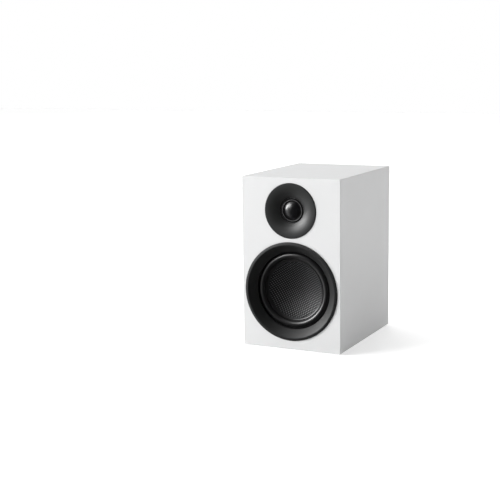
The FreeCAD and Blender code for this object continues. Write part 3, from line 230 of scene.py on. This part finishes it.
def blend_radially(item, moving, centre, outer, inner):
    """Let a ring stretch: past outer it stays with the cabinet, within inner it follows the moving body."""
    # The loop then weighs it by radius instead.
    along_axis = Vector((0, -0.01, 0))
    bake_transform(item, "cabinet", moving, centre, centre + along_axis)
    weights = item.data.attributes["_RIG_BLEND"].data
    for vertex, weight in zip(item.data.vertices, weights):
        away = vertex.co - centre
        share = (outer - math.hypot(away.x, away.z) / MM) / (outer - inner)
        share = min(max(share, 0), 1)
        weight.value = share * share * (3 - 2 * share)


# ---------------------------------------------------------------- node materials


class Look:
    """A node material: a Principled shader and the textures that feed it."""

    def __init__(self, name, colour, roughness, **inputs):
        self.material = bpy.data.materials.new(name)
        self.material.use_nodes = True
        self.tree = self.material.node_tree
        self.shader = next(n for n in self.tree.nodes if n.type == "BSDF_PRINCIPLED")
        self.shader.inputs["Base Color"].default_value = (*colour, 1)
        self.shader.inputs["Roughness"].default_value = roughness
        for key, number in inputs.items():
            self.shader.inputs[key.replace("_", " ")].default_value = number
        self.colour = colour
        self.place = self.node("ShaderNodeTexCoord").outputs["Object"]
        self.normal = None

    def node(self, kind, **settings):
        """A new node with its settings made."""
        item = self.tree.nodes.new(kind)
        for key, setting in settings.items():
            setattr(item, key, setting)
        return item

    def link(self, source, target):
        self.tree.links.new(source, target)

    def math(self, operation, *sources):
        """One step of arithmetic on sockets and plain numbers."""
        item = self.node("ShaderNodeMath", operation=operation)
        for socket, source in zip(item.inputs, sources):
            if isinstance(source, (int, float)):
                socket.default_value = source
            else:
                self.link(source, socket)
        return item.outputs[0]

    def noise(self, scale, detail, stretch=(1, 1, 1)):
        """Noise of the given number of waves a metre, stretched along the axes."""
        mapping = self.node("ShaderNodeMapping")
        mapping.inputs["Scale"].default_value = stretch
        self.link(self.place, mapping.inputs["Vector"])
        item = self.node("ShaderNodeTexNoise")
        item.inputs["Scale"].default_value = scale
        item.inputs["Detail"].default_value = detail
        self.link(mapping.outputs[0], item.inputs["Vector"])
        return item.outputs["Fac"]

    def between(self, source, low, high):
        """Map a 0 to 1 source onto low to high."""
        item = self.node("ShaderNodeMapRange")
        self.link(source, item.inputs["Value"])
        item.inputs["To Min"].default_value = low
        item.inputs["To Max"].default_value = high
        return item.outputs["Result"]

    def tint(self, source, dark, light):
        """Vary the base colour between two brightnesses of it."""
        item = self.node("ShaderNodeMix", data_type="RGBA")
        self.link(source, item.inputs["Factor"])
        item.inputs["A"].default_value = (*[c * dark for c in self.colour], 1)
        item.inputs["B"].default_value = (*[c * light for c in self.colour], 1)
        self.link(item.outputs["Result"], self.shader.inputs["Base Color"])

    def mottle(self, source, low, high):
        """Vary the roughness between two values."""
        self.link(self.between(source, low, high), self.shader.inputs["Roughness"])

    def bump(self, source, height, strength):
        """Add relief of the given height in metres to what is there already."""
        item = self.node("ShaderNodeBump")
        item.inputs["Distance"].default_value = height
        item.inputs["Strength"].default_value = strength
        self.link(source, item.inputs["Height"])
        if self.normal:
            self.link(self.normal, item.inputs["Normal"])
        self.normal = item.outputs["Normal"]
        self.link(self.normal, self.shader.inputs["Normal"])


def cabinet_foil():
    """White satin foil: a faint orange peel, a fine grain and a little unevenness in its sheen."""
    look = Look("cabinet_foil", (0.63, 0.633, 0.635), 0.42, Specular_IOR_Level=0.45)
    look.tint(look.noise(14, detail=3), 0.985, 1.01)
    look.mottle(look.noise(60, detail=4), 0.36, 0.48)
    look.bump(look.noise(420, detail=2), 0.00004, 0.35)
    look.bump(look.noise(3200, detail=1), 0.00001, 0.4)
    return look.material


def bare_board():
    """Raw fibreboard: brown, mottled with fine fibres."""
    look = Look("bare_board", (0.42, 0.29, 0.17), 0.85)
    look.tint(look.noise(900, detail=4, stretch=(1, 0.3, 1)), 0.75, 1.2)
    look.bump(look.noise(1500, detail=3), 0.0001, 0.6)
    return look.material


def moulded(name, colour, roughness, grain=2600, relief=0.00002, **inputs):
    """Spark-textured moulded plastic."""
    look = Look(name, colour, roughness, **inputs)
    look.tint(look.noise(90, detail=3), 0.9, 1.12)
    look.mottle(look.noise(grain / 3, detail=3), roughness - 0.05, roughness + 0.07)
    look.bump(look.noise(grain, detail=2), relief, 0.55)
    return look.material


def rubber(name, colour, roughness, shine=0.4):
    """Moulded rubber: faint bloom, flow marks and fine pores."""
    look = Look(name, colour, roughness, Specular_IOR_Level=shine)
    look.tint(look.noise(120, detail=5), 0.8, 1.35)
    look.mottle(look.noise(400, detail=4), roughness - 0.07, roughness + 0.1)
    look.bump(look.noise(1800, detail=3), 0.00003, 0.5)
    return look.material


def metal(name, colour, roughness, stretch=(1, 1, 1), grain=900):
    """Plated or turned metal with fine tooling along the stretch axes."""
    look = Look(name, colour, roughness, Metallic=1.0)
    lines = look.noise(grain, detail=3, stretch=stretch)
    look.tint(lines, 0.85, 1.08)
    look.mottle(look.noise(grain / 2, detail=4, stretch=stretch), roughness * 0.75, roughness * 1.3)
    look.bump(lines, 0.00001, 0.3)
    return look.material


def painted(name, colour, roughness):
    """Enamel with a thin clear coat and a slight orange peel."""
    look = Look(name, colour, roughness, Coat_Weight=0.3)
    look.tint(look.noise(150, detail=3), 0.85, 1.2)
    look.bump(look.noise(900, detail=2), 0.00003, 0.4)
    return look.material


def woven(name, colour, roughness, relief):
    """The cone's plain weave, in the plane of the front.

    Painted highlight and painted shade: the colour is brightest on the crest of each yarn where the warp
    lies on top, much dimmer where the weft does, and darkest in the grooves between yarns. The warp is also
    glossier. The warp lies on top where the waves across and along the weave agree in sign. Every crossing
    is rounded, and fine ribs cross whichever yarn is on top.
    """
    look = Look(name, colour, roughness)
    pitch = YARN_PITCH * MM
    offset = look.node("ShaderNodeVectorMath", operation="SUBTRACT")
    offset.inputs[1].default_value = WOOFER
    mapping = look.node("ShaderNodeMapping")
    mapping.inputs["Rotation"].default_value = (0, WEAVE_TURN, 0)
    mapping.inputs["Scale"].default_value = (1 / pitch, 1 / pitch, 1 / pitch)
    parts = look.node("ShaderNodeSeparateXYZ")
    look.link(look.place, offset.inputs[0])
    look.link(offset.outputs[0], mapping.inputs["Vector"])
    look.link(mapping.outputs[0], parts.inputs[0])
    across, along = parts.outputs["X"], parts.outputs["Z"]
    wave_across = look.math("SINE", look.math("MULTIPLY", across, math.pi))
    wave_along = look.math("SINE", look.math("MULTIPLY", along, math.pi))
    over = look.math("MULTIPLY", wave_across, wave_along)
    crossing = look.math("ABSOLUTE", over)
    warp_on_top = look.math("GREATER_THAN", over, 0.0)
    # shine is highest on the warp's yarn crests: it sets where the painted highlight goes, and the gloss
    # there.
    shine = look.math("MULTIPLY", crossing, look.between(warp_on_top, 0.12, 1.0))
    rib_waves = 12 * math.pi
    ribs = look.node("ShaderNodeMix", data_type="FLOAT")
    look.link(warp_on_top, ribs.inputs["Factor"])
    look.link(look.math("SINE", look.math("MULTIPLY", across, rib_waves)), ribs.inputs["A"])
    look.link(look.math("SINE", look.math("MULTIPLY", along, rib_waves)), ribs.inputs["B"])
    # Painted highlight on the yarn crests and painted shade in the grooves between yarns.
    look.tint(shine, 0.15, 4.4)
    look.mottle(shine, roughness + 0.3, roughness - 0.04)
    look.link(look.between(shine, 0.2, 1.1), look.shader.inputs["Specular IOR Level"])
    look.bump(crossing, relief, 0.6)
    look.bump(ribs.outputs["Result"], relief * 0.12, 0.5)
    return look.material


def cloth(name, colour, rib_scale):
    """Dull cloth with slanting ribs, finer with a larger scale, and a loose nap."""
    look = Look(name, colour, 0.9, Specular_IOR_Level=0.2)
    weave = look.node("ShaderNodeTexWave", wave_type="BANDS", bands_direction="DIAGONAL")
    weave.inputs["Scale"].default_value = rib_scale
    weave.inputs["Distortion"].default_value = 1.5
    look.link(look.place, weave.inputs["Vector"])
    look.tint(look.noise(700, detail=4), 0.7, 1.2)
    look.bump(weave.outputs["Fac"], 0.00008, 0.6)
    look.bump(look.noise(1600, detail=3), 0.00006, 0.5)
    return look.material


def coated_silk():
    """Silk dome under a clear damping coat: black with a broad soft gloss."""
    look = Look("dome_silk", (0.004, 0.004, 0.005), 0.28, Coat_Weight=0.5, Coat_Roughness=0.22)
    look.tint(look.noise(500, detail=3), 0.8, 1.3)
    look.mottle(look.noise(900, detail=3), 0.25, 0.33)
    look.bump(look.noise(4200, detail=1), 0.000012, 0.35)
    return look.material


def windings(name, colour, pitch, axis="Y"):
    """Enamelled wire: turns side by side along an axis, with painted shade in the grooves between turns."""
    look = Look(name, colour, 0.28, Metallic=1.0, Coat_Weight=0.6)
    parts = look.node("ShaderNodeSeparateXYZ")
    look.link(look.place, parts.inputs[0])
    angle = look.math("MULTIPLY", parts.outputs[axis], math.pi / pitch)
    turns = look.math("ABSOLUTE", look.math("SINE", angle))
    # Painted shade: the colour darkens in the grooves between turns.
    look.tint(turns, 0.45, 1.1)
    look.bump(turns, pitch * 0.4, 0.9)
    return look.material


def circuit_board():
    """Green solder mask over copper tracks."""
    look = Look("circuit_board", (0.02, 0.12, 0.045), 0.35, Coat_Weight=0.5)
    tracks = look.node("ShaderNodeTexVoronoi", feature="DISTANCE_TO_EDGE", distance="MANHATTAN")
    tracks.inputs["Scale"].default_value = 90
    look.link(look.place, tracks.inputs["Vector"])
    lines = look.math("LESS_THAN", tracks.outputs["Distance"], 0.06)
    look.tint(lines, 0.9, 1.9)
    look.bump(lines, 0.00003, 0.6)
    return look.material


def paint(materials):
    """Give each CAD node the material named for it."""
    for node, material in materials.items():
        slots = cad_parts[node].data.materials
        slots.clear()
        slots.append(material)


FOIL = cabinet_foil()
BOARD = bare_board()
RING_PLASTIC = moulded("ring_plastic", (0.009, 0.0093, 0.0095), 0.46, Specular_IOR_Level=0.55)
WAVEGUIDE_PLASTIC = moulded("waveguide_plastic", (0.012, 0.0127, 0.0127), 0.43, Specular_IOR_Level=0.6)
BLACK_PLASTIC = moulded("black_plastic", (0.022, 0.022, 0.023), 0.48, grain=1900, relief=0.00004)
GREY_PLASTIC = moulded("dome_ring_plastic", (0.07, 0.07, 0.073), 0.35)
DULL_BLACK = moulded("dull_black", (0.006, 0.006, 0.006), 0.8, Specular_IOR_Level=0.1)
SURROUND_RUBBER = rubber("surround_rubber", (0.004, 0.004, 0.0045), 0.33, shine=0.8)
FOOT_RUBBER = rubber("foot_rubber", (0.035, 0.035, 0.035), 0.7)
FOAM = rubber("gasket_foam", (0.03, 0.03, 0.03), 0.9)
CONE_WEAVE = woven("cone_weave", (0.013, 0.0134, 0.0144), 0.36, 0.00012)
SPIDER_CLOTH = cloth("spider_cloth", (0.50, 0.36, 0.14), 62.5)
WADDING = cloth("damping_wadding", (0.75, 0.75, 0.72), 16.67)
SILK = coated_silk()
ROLL_CLOTH = cloth("roll_cloth", (0.004, 0.004, 0.004), 62.5)
FOIL_TUBE = metal("former_foil", (0.75, 0.76, 0.77), 0.35)
COPPER = windings("voice_coil_wire", (0.80, 0.36, 0.16), 0.0003)
COIL_COPPER = windings("crossover_wire", (0.80, 0.36, 0.16), 0.0009, axis="Z")
BASKET_PAINT = painted("basket_paint", (0.02, 0.02, 0.021), 0.45)
ZINC = metal("zinc_plate", (0.62, 0.63, 0.64), 0.36)
FERRITE = moulded("ferrite", (0.035, 0.035, 0.038), 0.6, grain=1400, relief=0.00005)
FIBRE_BOARD = moulded("fibre_board", (0.24, 0.12, 0.05), 0.7, grain=1200, relief=0.00006)
BRASS = metal("plated_brass", (0.86, 0.66, 0.32), 0.24, stretch=(1, 6, 1))
GOLD = metal("gold_plate", (0.92, 0.70, 0.34), 0.2, stretch=(1, 8, 1), grain=1200)
BLACK_STEEL = metal("black_steel", (0.10, 0.10, 0.105), 0.38)
RED_PLASTIC = moulded("red_plastic", (0.55, 0.012, 0.012), 0.25, relief=0.00001, Coat_Weight=0.4)
DARK_PLASTIC = moulded("polished_black", (0.012, 0.012, 0.012), 0.22, relief=0.00001, Coat_Weight=0.4)
SOLDER_MASK = circuit_board()
CAPACITOR_FILM = moulded("capacitor_film", (0.62, 0.42, 0.05), 0.35, grain=500, Coat_Weight=0.5)
CERAMIC = moulded("resistor_ceramic", (0.72, 0.69, 0.62), 0.75, grain=1500, relief=0.00008)
NYLON = moulded("nylon", (0.75, 0.75, 0.72), 0.45)
MARK_PAINT = moulded("mark_paint", (0.7, 0.7, 0.7), 0.5, grain=1500)
INSULATION = moulded("lead_insulation", (0.30, 0.015, 0.012), 0.42, grain=900)
TINSEL = metal("tinsel_braid", (0.82, 0.45, 0.24), 0.4, stretch=(3, 1, 3), grain=2400)

paint(
    {
        "front_baffle": FOIL,
        "left_side_panel": FOIL,
        "right_side_panel": FOIL,
        "top_panel": FOIL,
        "bottom_panel": FOIL,
        "rear_panel": FOIL,
        "window_brace": BOARD,
        "rubber_feet": FOOT_RUBBER,
        "damping_pads": WADDING,
        "woofer_gasket": FOAM,
        "woofer_basket": BASKET_PAINT,
        "woofer_screws": BLACK_STEEL,
        "woofer_coil_former": FOIL_TUBE,
        "woofer_voice_coil": COPPER,
        "woofer_spider": SPIDER_CLOTH,
        "woofer_top_plate": ZINC,
        "woofer_magnet": FERRITE,
        "woofer_yoke": ZINC,
        "woofer_terminal_board": FIBRE_BOARD,
        "woofer_terminal_tabs": BRASS,
        "woofer_tinsel_leads": TINSEL,
        "tweeter_gasket": FOAM,
        "tweeter_voice_coil": COPPER,
        "tweeter_top_plate": ZINC,
        "tweeter_magnet": FERRITE,
        "tweeter_yoke": ZINC,
        "tweeter_rear_chamber": BLACK_PLASTIC,
        "tweeter_clamp": BLACK_PLASTIC,
        "tweeter_screws": BLACK_STEEL,
        "tweeter_terminals": BRASS,
        "port_tube": BLACK_PLASTIC,
        "terminal_cup": BLACK_PLASTIC,
        "terminal_cup_gasket": FOAM,
        "terminal_cup_screws": BLACK_STEEL,
        "positive_post": BRASS,
        "positive_collar": GOLD,
        "positive_knob": GOLD,
        "positive_knob_ring": RED_PLASTIC,
        "negative_post": BRASS,
        "negative_collar": GOLD,
        "negative_knob": GOLD,
        "negative_knob_ring": DARK_PLASTIC,
        "solder_lugs": BRASS,
        "post_nuts": ZINC,
        "crossover_board": SOLDER_MASK,
        "crossover_standoffs": NYLON,
        "crossover_coils": COIL_COPPER,
        "crossover_capacitors": CAPACITOR_FILM,
        "crossover_resistors": CERAMIC,
        "input_leads": INSULATION,
        "woofer_leads": INSULATION,
        "tweeter_leads": INSULATION,
    }
)


# ---------------------------------------------------------------- woofer


def add_trim_ring():
    """A narrow crest, a bevel outside it and a long funnel inside, down to a short lip."""
    corners = [
        (69.3, 0.0),
        (69.3, -1.2),
        (65.6, -1.9),
        (64.9, -1.5, 0.7, "left"),
        (54.6, 8.0),
        (54.6, 12.0),
        (56.2, 12.0),
        (56.2, 9.9),
        (63.5, 1.7),
        (64.9, 1.7),
        (64.9, 6.9),
        (66.5, 6.9),
        (66.5, 0.0),
    ]
    item = lathe("trim_ring", corners, WOOFER, "cabinet", easing=0.35)
    finish_piece(item, RING_PLASTIC, "woofer_trim_ring")


def add_surround():
    """The half roll, its glued rim outside and a lip with two fine beads over the cone's edge."""
    face, back = 12.4, 13.15
    corners = [
        (39.7, back + 1.8),
        (39.8, face + 2.0),
        (40.6, face + 1.25),
        (40.9, face + 0.6),
        (41.3, face + 0.7),
        (42.1, face + 0.25),
        (42.4, face - 0.3),
        (42.8, face),
        (43.6, face),
        (53.4, face, 4.95, "left"),
        (56.0, face),
        (56.0, back),
        (52.6, back),
        (44.4, back, 4.15, "right"),
        (41.6, back + 0.1),
    ]
    item = lathe("half_roll_surround", corners, WOOFER, easing=0.12, arc_steps=40)
    blend_radially(item, "woofer_diaphragm", WOOFER, 52.5, 44.0)
    finish_piece(item, SURROUND_RUBBER, "woofer_surround")


def yarn_height(across, along):
    """Height, 0 to 1, of the upper yarn at places counted in yarns across and along a plain weave."""
    column, row = numpy.floor(across), numpy.floor(along)
    in_column, in_row = across - column - 0.5, along - row - 0.5
    warp_on_top = (column + row) % 2 == 0
    across_yarn = numpy.where(warp_on_top, in_column, in_row)
    along_yarn = numpy.where(warp_on_top, in_row, in_column)
    flatness = 0.4
    dip_at_ends = numpy.clip(numpy.cos(math.pi * along_yarn), 0, 1) ** flatness
    return numpy.cos(math.pi * across_yarn) * dip_at_ends


def add_cone():
    """The bowl: a grid along the yarns, each one a raised pillow wherever it lies on top."""
    bowl_radius, bowl_depth, rim_depth = 41.6, 15.5, 13.2
    edge, wall, relief, steps_per_yarn = 43.2, 0.5, 0.22, 8
    sphere = (bowl_radius**2 + bowl_depth**2) / (2 * bowl_depth)
    spacing = YARN_PITCH / steps_per_yarn
    count = int(edge / spacing)
    line = numpy.arange(-count, count + 1) * spacing
    along, across = numpy.meshgrid(line, line, indexing="ij")
    radius = numpy.hypot(across, along)
    inside = numpy.minimum(radius, bowl_radius)
    sag = bowl_depth - sphere + numpy.sqrt(sphere**2 - inside**2)
    height = yarn_height(across / YARN_PITCH, along / YARN_PITCH)
    depth = rim_depth + sag - relief * height * (radius < bowl_radius)
    kept = radius <= edge
    ids = numpy.full(kept.shape, -1)
    ids[kept] = numpy.arange(kept.sum())
    x = (across * math.cos(WEAVE_TURN) - along * math.sin(WEAVE_TURN))[kept]
    z = (across * math.sin(WEAVE_TURN) + along * math.cos(WEAVE_TURN))[kept]
    places = numpy.column_stack((x, depth[kept], z)) * MM + numpy.array(WOOFER)
    squares = numpy.stack((ids[:-1, :-1], ids[1:, :-1], ids[1:, 1:], ids[:-1, 1:]), axis=-1)
    faces = squares[(squares >= 0).all(axis=-1)]
    item = new_object("woven_cone", places.tolist(), faces.tolist(), "woofer_diaphragm", math.pi)
    thickness = item.modifiers.new("thickness", "SOLIDIFY")
    thickness.thickness = wall * MM
    thickness.offset = 1 if item.data.polygons[0].normal.y > 0 else -1
    finish_piece(item, CONE_WEAVE, "woofer_cone")


def add_spider():
    """The corrugated disc that centres the coil, stretched between the basket and the coil's tube."""
    low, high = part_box("woofer_spider")
    rim = (high[0] - low[0]) / 2 / MM
    tube_radius, inner, outer = 12.6, 14.2, 36.3
    thickness, wave, waves = 0.5, 1.2, 6
    flat = (low[1] - FRONT_Y) / MM + wave
    step = (outer - inner) / (2 * waves)
    crests = [(inner + step * index, flat + wave * (-1) ** index) for index in range(1, 2 * waves)]
    front = [(tube_radius, flat), (inner, flat), *crests, (outer, flat), (rim, flat)]
    back = [(radius, depth + thickness) for radius, depth in reversed(front)]
    item = lathe("spider", front + back, WOOFER, easing=0.6, steps=96)
    blend_radially(item, "woofer_diaphragm", WOOFER, outer, inner)
    finish_piece(item, SPIDER_CLOTH, "woofer_spider")


def add_tinsel_leads():
    """Two braids that arch from the terminal board to the back of the cone and bend with it."""
    low, high = (Vector(corner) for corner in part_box("woofer_tinsel_leads"))
    radius = 0.6 * MM
    dip = 0.7 * MM
    outside, inside = high.x - radius, low.x
    board, cone_back = high.y, low.y + radius
    bend = board + (cone_back - board) * 0.65
    for name, height in (("upper_tinsel_lead", high.z - radius), ("lower_tinsel_lead", low.z + radius)):
        path = [
            Vector((outside, board, height)),
            Vector((outside, bend, height)),
            Vector(((outside + inside) / 2, cone_back + dip, height)),
            Vector((inside, cone_back, height)),
        ]
        item = tube(name, rounded_path(path), radius)
        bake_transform(item, "cabinet", "woofer_diaphragm", path[0], path[-1])
        finish_piece(item, TINSEL, "woofer_tinsel_leads")


# ---------------------------------------------------------------- tweeter


def add_waveguide():
    """Faceplate with an eased rim, flaring in to the throat like a shallow horn."""
    corners = [
        (38.2, 4.2),
        (38.2, -0.4),
        (37.6, -1.0, 0.6, "left"),
        (36.7, -1.0),
        (17.9, 5.3, 32.0, "right"),
        (17.4, 6.0, 1.0, "right"),
        (17.4, 6.8),
        (26.6, 6.8),
        (26.6, 17.9),
        (30.0, 17.9),
        (30.0, 4.2),
    ]
    item = lathe("waveguide", corners, TWEETER, "cabinet", arc_steps=48)
    finish_piece(item, WAVEGUIDE_PLASTIC, "tweeter_waveguide")


def add_dome_ring():
    """A fine bead that clamps the dome's rim, and the dull black seat around it."""
    bead = [
        (14.0, 6.6),
        (14.0, 5.7),
        (14.9, 5.7, 0.46, "left"),
        (14.9, 6.6),
    ]
    item = lathe("dome_clamp_bead", bead, TWEETER, "cabinet", easing=0.05)
    finish_piece(item, GREY_PLASTIC, "tweeter_dome_ring")
    seat = [(14.95, 6.65), (14.95, 6.2), (17.0, 6.2), (17.0, 6.65)]
    item = lathe("dome_clamp_seat", seat, TWEETER, "cabinet", easing=0.05)
    finish_piece(item, DULL_BLACK)


def add_dome():
    """The coated silk dome with the skirt that carries its coil."""
    rim, rim_depth, height, thickness, skirt = 12.2, 6.6, 4.3, 0.3, 4.0
    sphere = (rim**2 + height**2) / (2 * height)
    inner = rim - thickness
    inner_depth = rim_depth - height + sphere - math.sqrt((sphere - thickness) ** 2 - inner**2)
    corners = [
        (0, rim_depth - height),
        (rim, rim_depth, sphere, "left"),
        (rim, rim_depth + skirt),
        (inner, rim_depth + skirt),
        (inner, inner_depth),
        (0, rim_depth - height + thickness, sphere - thickness, "right"),
    ]
    item = lathe("silk_dome", corners, TWEETER, "tweeter_diaphragm", easing=0.08, arc_steps=48)
    finish_piece(item, SILK, "tweeter_dome")


def add_dome_roll():
    """The narrow half roll that the dome hangs in."""
    corners = [
        (12.2, 6.65),
        (13.4, 6.7, 0.68, "left"),
        (16.9, 6.7),
        (16.9, 6.9),
        (13.2, 6.9),
        (12.2, 6.85, 0.58, "right"),
    ]
    item = lathe("dome_roll", corners, TWEETER, easing=0.03, arc_steps=16)
    blend_radially(item, "tweeter_diaphragm", TWEETER, 13.4, 12.3)
    finish_piece(item, ROLL_CLOTH, "tweeter_surround")


# ---------------------------------------------------------------- terminals


def add_bar(name, centre, width, height, thickness):
    """A bar of a painted mark, half sunk in a wall that faces +Y."""
    half = Vector((width, thickness, height)) / 2 * MM
    signs = (-1, 1)
    vertices = [
        centre + Vector((x * half.x, y * half.y, z * half.z)) for x in signs for y in signs for z in signs
    ]
    faces = [(0, 1, 3, 2), (4, 6, 7, 5), (0, 4, 5, 1), (2, 3, 7, 6), (0, 2, 6, 4), (1, 5, 7, 3)]
    item = new_object(name, vertices, faces, "cabinet")
    finish_piece(item, MARK_PAINT)


def add_polarity_marks():
    """A plus over the positive post and a minus over the negative one, raised on the cup's wall."""
    cup_depth, above_posts, length, stroke = 24.0, 16.5, 5.0, 1.2
    # The plus's second bar is thinner, so that no two faces share a plane.
    thickness, thinner = 0.6, 0.54
    wall = REAR_Y - cup_depth * MM
    height = centre_of("terminal_cup").z + above_posts * MM
    for post in ("positive", "negative"):
        place = Vector((centre_of(f"{post}_post").x, wall, height))
        add_bar(f"{post}_mark_across", place, length, stroke, thickness)
        if post == "positive":
            add_bar("positive_mark_upright", place, stroke, length, thinner)


add_trim_ring()
add_surround()
add_cone()
add_spider()
add_tinsel_leads()
add_waveguide()
add_dome_ring()
add_dome()
add_dome_roll()
add_polarity_marks()


# ---------------------------------------------------------------- stage, light and camera


def flat_panel(name, corners, material):
    """A piece of the studio: one flat face."""
    mesh = bpy.data.meshes.new(name)
    mesh.from_pydata(corners, [], [tuple(range(len(corners)))])
    item = bpy.data.objects.new(name, mesh)
    bpy.context.scene.collection.objects.link(item)
    mesh.materials.append(material)
    return item


def add_floor():
    """A pale floor that glows a little, as paper lit from below does. Glossy pieces don't mirror it."""
    look = Look("studio_floor", (0.93, 0.93, 0.93), 0.9, Specular_IOR_Level=0.0, Emission_Strength=0.45)
    look.shader.inputs["Emission Color"].default_value = WHITE
    look.tint(look.noise(2, detail=1), 0.995, 1.0)
    reach = 60
    corners = [(-reach, -reach, 0), (reach, -reach, 0), (reach, reach, 0), (-reach, reach, 0)]
    floor = flat_panel("studio_floor", corners, look.material)
    floor.visible_glossy = False


def add_backdrop():
    """Pale surroundings for the camera alone, so that no light of theirs falls on the speaker."""
    look = Look("studio_backdrop", (0, 0, 0), 1.0, Specular_IOR_Level=0.0, Emission_Strength=1.0)
    look.shader.inputs["Emission Color"].default_value = WHITE
    reach, height = 6, 6
    for side, (x, y) in enumerate(((1, 0), (0, 1), (-1, 0), (0, -1))):
        ends = [(reach * (x - turn * y), reach * (y + turn * x)) for turn in (-1, 1)]
        corners = [(*ends[0], 0), (*ends[1], 0), (*ends[1], height), (*ends[0], height)]
        item = flat_panel(f"studio_backdrop_{side}", corners, look.material)
        item.visible_diffuse = False
        item.visible_glossy = False
        item.visible_transmission = False
        item.visible_shadow = False


def add_softbox(name, position, target, width, height, power):
    """A soft rectangular light in watts, aimed at a place."""
    light = bpy.data.lights.new(name, "AREA")
    light.shape = "RECTANGLE"
    light.size = width
    light.size_y = height
    light.energy = power
    item = bpy.data.objects.new(name, light)
    item.visible_camera = False
    item.location = position
    item.rotation_euler = (Vector(target) - Vector(position)).to_track_quat("-Z", "Y").to_euler()
    bpy.context.scene.collection.objects.link(item)


def add_net():
    """A net just off the cabinet's left side, flush with its outline, so that the side isn't burnt out.

    The lights that reach the front and the top don't pass through it.
    """
    look = Look("studio_net", (0, 0, 0), 1.0, Specular_IOR_Level=0.0, Alpha=0.55)
    gap = 2 * MM
    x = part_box("left_side_panel")[0][0] - gap
    bottom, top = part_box("bottom_panel")[0][2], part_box("top_panel")[1][2]
    corners = [(x, FRONT_Y, bottom), (x, REAR_Y, bottom), (x, REAR_Y, top), (x, FRONT_Y, top)]
    net = flat_panel("studio_net", corners, look.material)
    net.visible_camera = False


def add_world():
    """Studio surroundings: bright behind the speaker and to its left, dim to the right and in front."""
    world = bpy.data.worlds.new("studio")
    bpy.context.scene.world = world
    world.use_nodes = True
    tree = world.node_tree
    background = next(n for n in tree.nodes if n.type == "BACKGROUND")
    coordinates = tree.nodes.new("ShaderNodeTexCoord")
    towards = tree.nodes.new("ShaderNodeVectorMath")
    towards.operation = "DOT_PRODUCT"
    towards.inputs[1].default_value = Vector((-0.85, 0.5, 0.25)).normalized()
    ramp = tree.nodes.new("ShaderNodeMapRange")
    ramp.interpolation_type = "SMOOTHSTEP"
    ramp.inputs["From Min"].default_value = -0.15
    ramp.inputs["From Max"].default_value = 0.5
    ramp.inputs["To Min"].default_value = 0.02
    ramp.inputs["To Max"].default_value = 1.04
    tree.links.new(coordinates.outputs["Generated"], towards.inputs[0])
    tree.links.new(towards.outputs["Value"], ramp.inputs["Value"])
    background.inputs["Color"].default_value = WHITE
    tree.links.new(ramp.outputs["Result"], background.inputs["Strength"])


def add_camera():
    """A view from the right and a little above, through a long lens."""
    turned, raised, rolled = math.radians(26.52), math.radians(9.83), math.radians(-0.79)
    to_the_right, in_front, above_bottom = 0.630, 1.387, 0.405
    back = Vector((math.sin(turned), -math.cos(turned), math.tan(raised))).normalized()
    right = (-back).cross(Vector((0, 0, 1))).normalized()
    up = right.cross(-back)
    tilted_right = right * math.cos(rolled) + up * math.sin(rolled)
    tilted_up = up * math.cos(rolled) - right * math.sin(rolled)
    data = bpy.data.cameras.new("camera")
    data.lens = 81.1
    data.sensor_width = 36
    camera = bpy.data.objects.new("camera", data)
    matrix = Matrix((tilted_right, tilted_up, back)).transposed().to_4x4()
    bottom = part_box("bottom_panel")[0][2]
    matrix.translation = Vector((to_the_right, FRONT_Y - in_front, bottom + above_bottom))
    camera.matrix_world = matrix
    bpy.context.scene.collection.objects.link(camera)
    bpy.context.scene.camera = camera


add_floor()
add_backdrop()
add_net()
add_world()
add_softbox("key_softbox", (-3.4, -2.9, 2.5), MIDDLE, 2.3, 2.1, 136)
add_softbox("left_softbox", (-4.3, -1.6, 1.3), MIDDLE, 1.6, 2.1, 162)
add_softbox("top_softbox", (-0.5, 1.0, 2.0), MIDDLE, 1.0, 1.0, 8)
add_softbox("right_softbox", (0.5, 0.42, 0.14), (0.07, 0.05, 0.12), 0.3, 0.3, 0.75)
add_camera()
bpy.context.scene.view_settings.view_transform = "Standard"
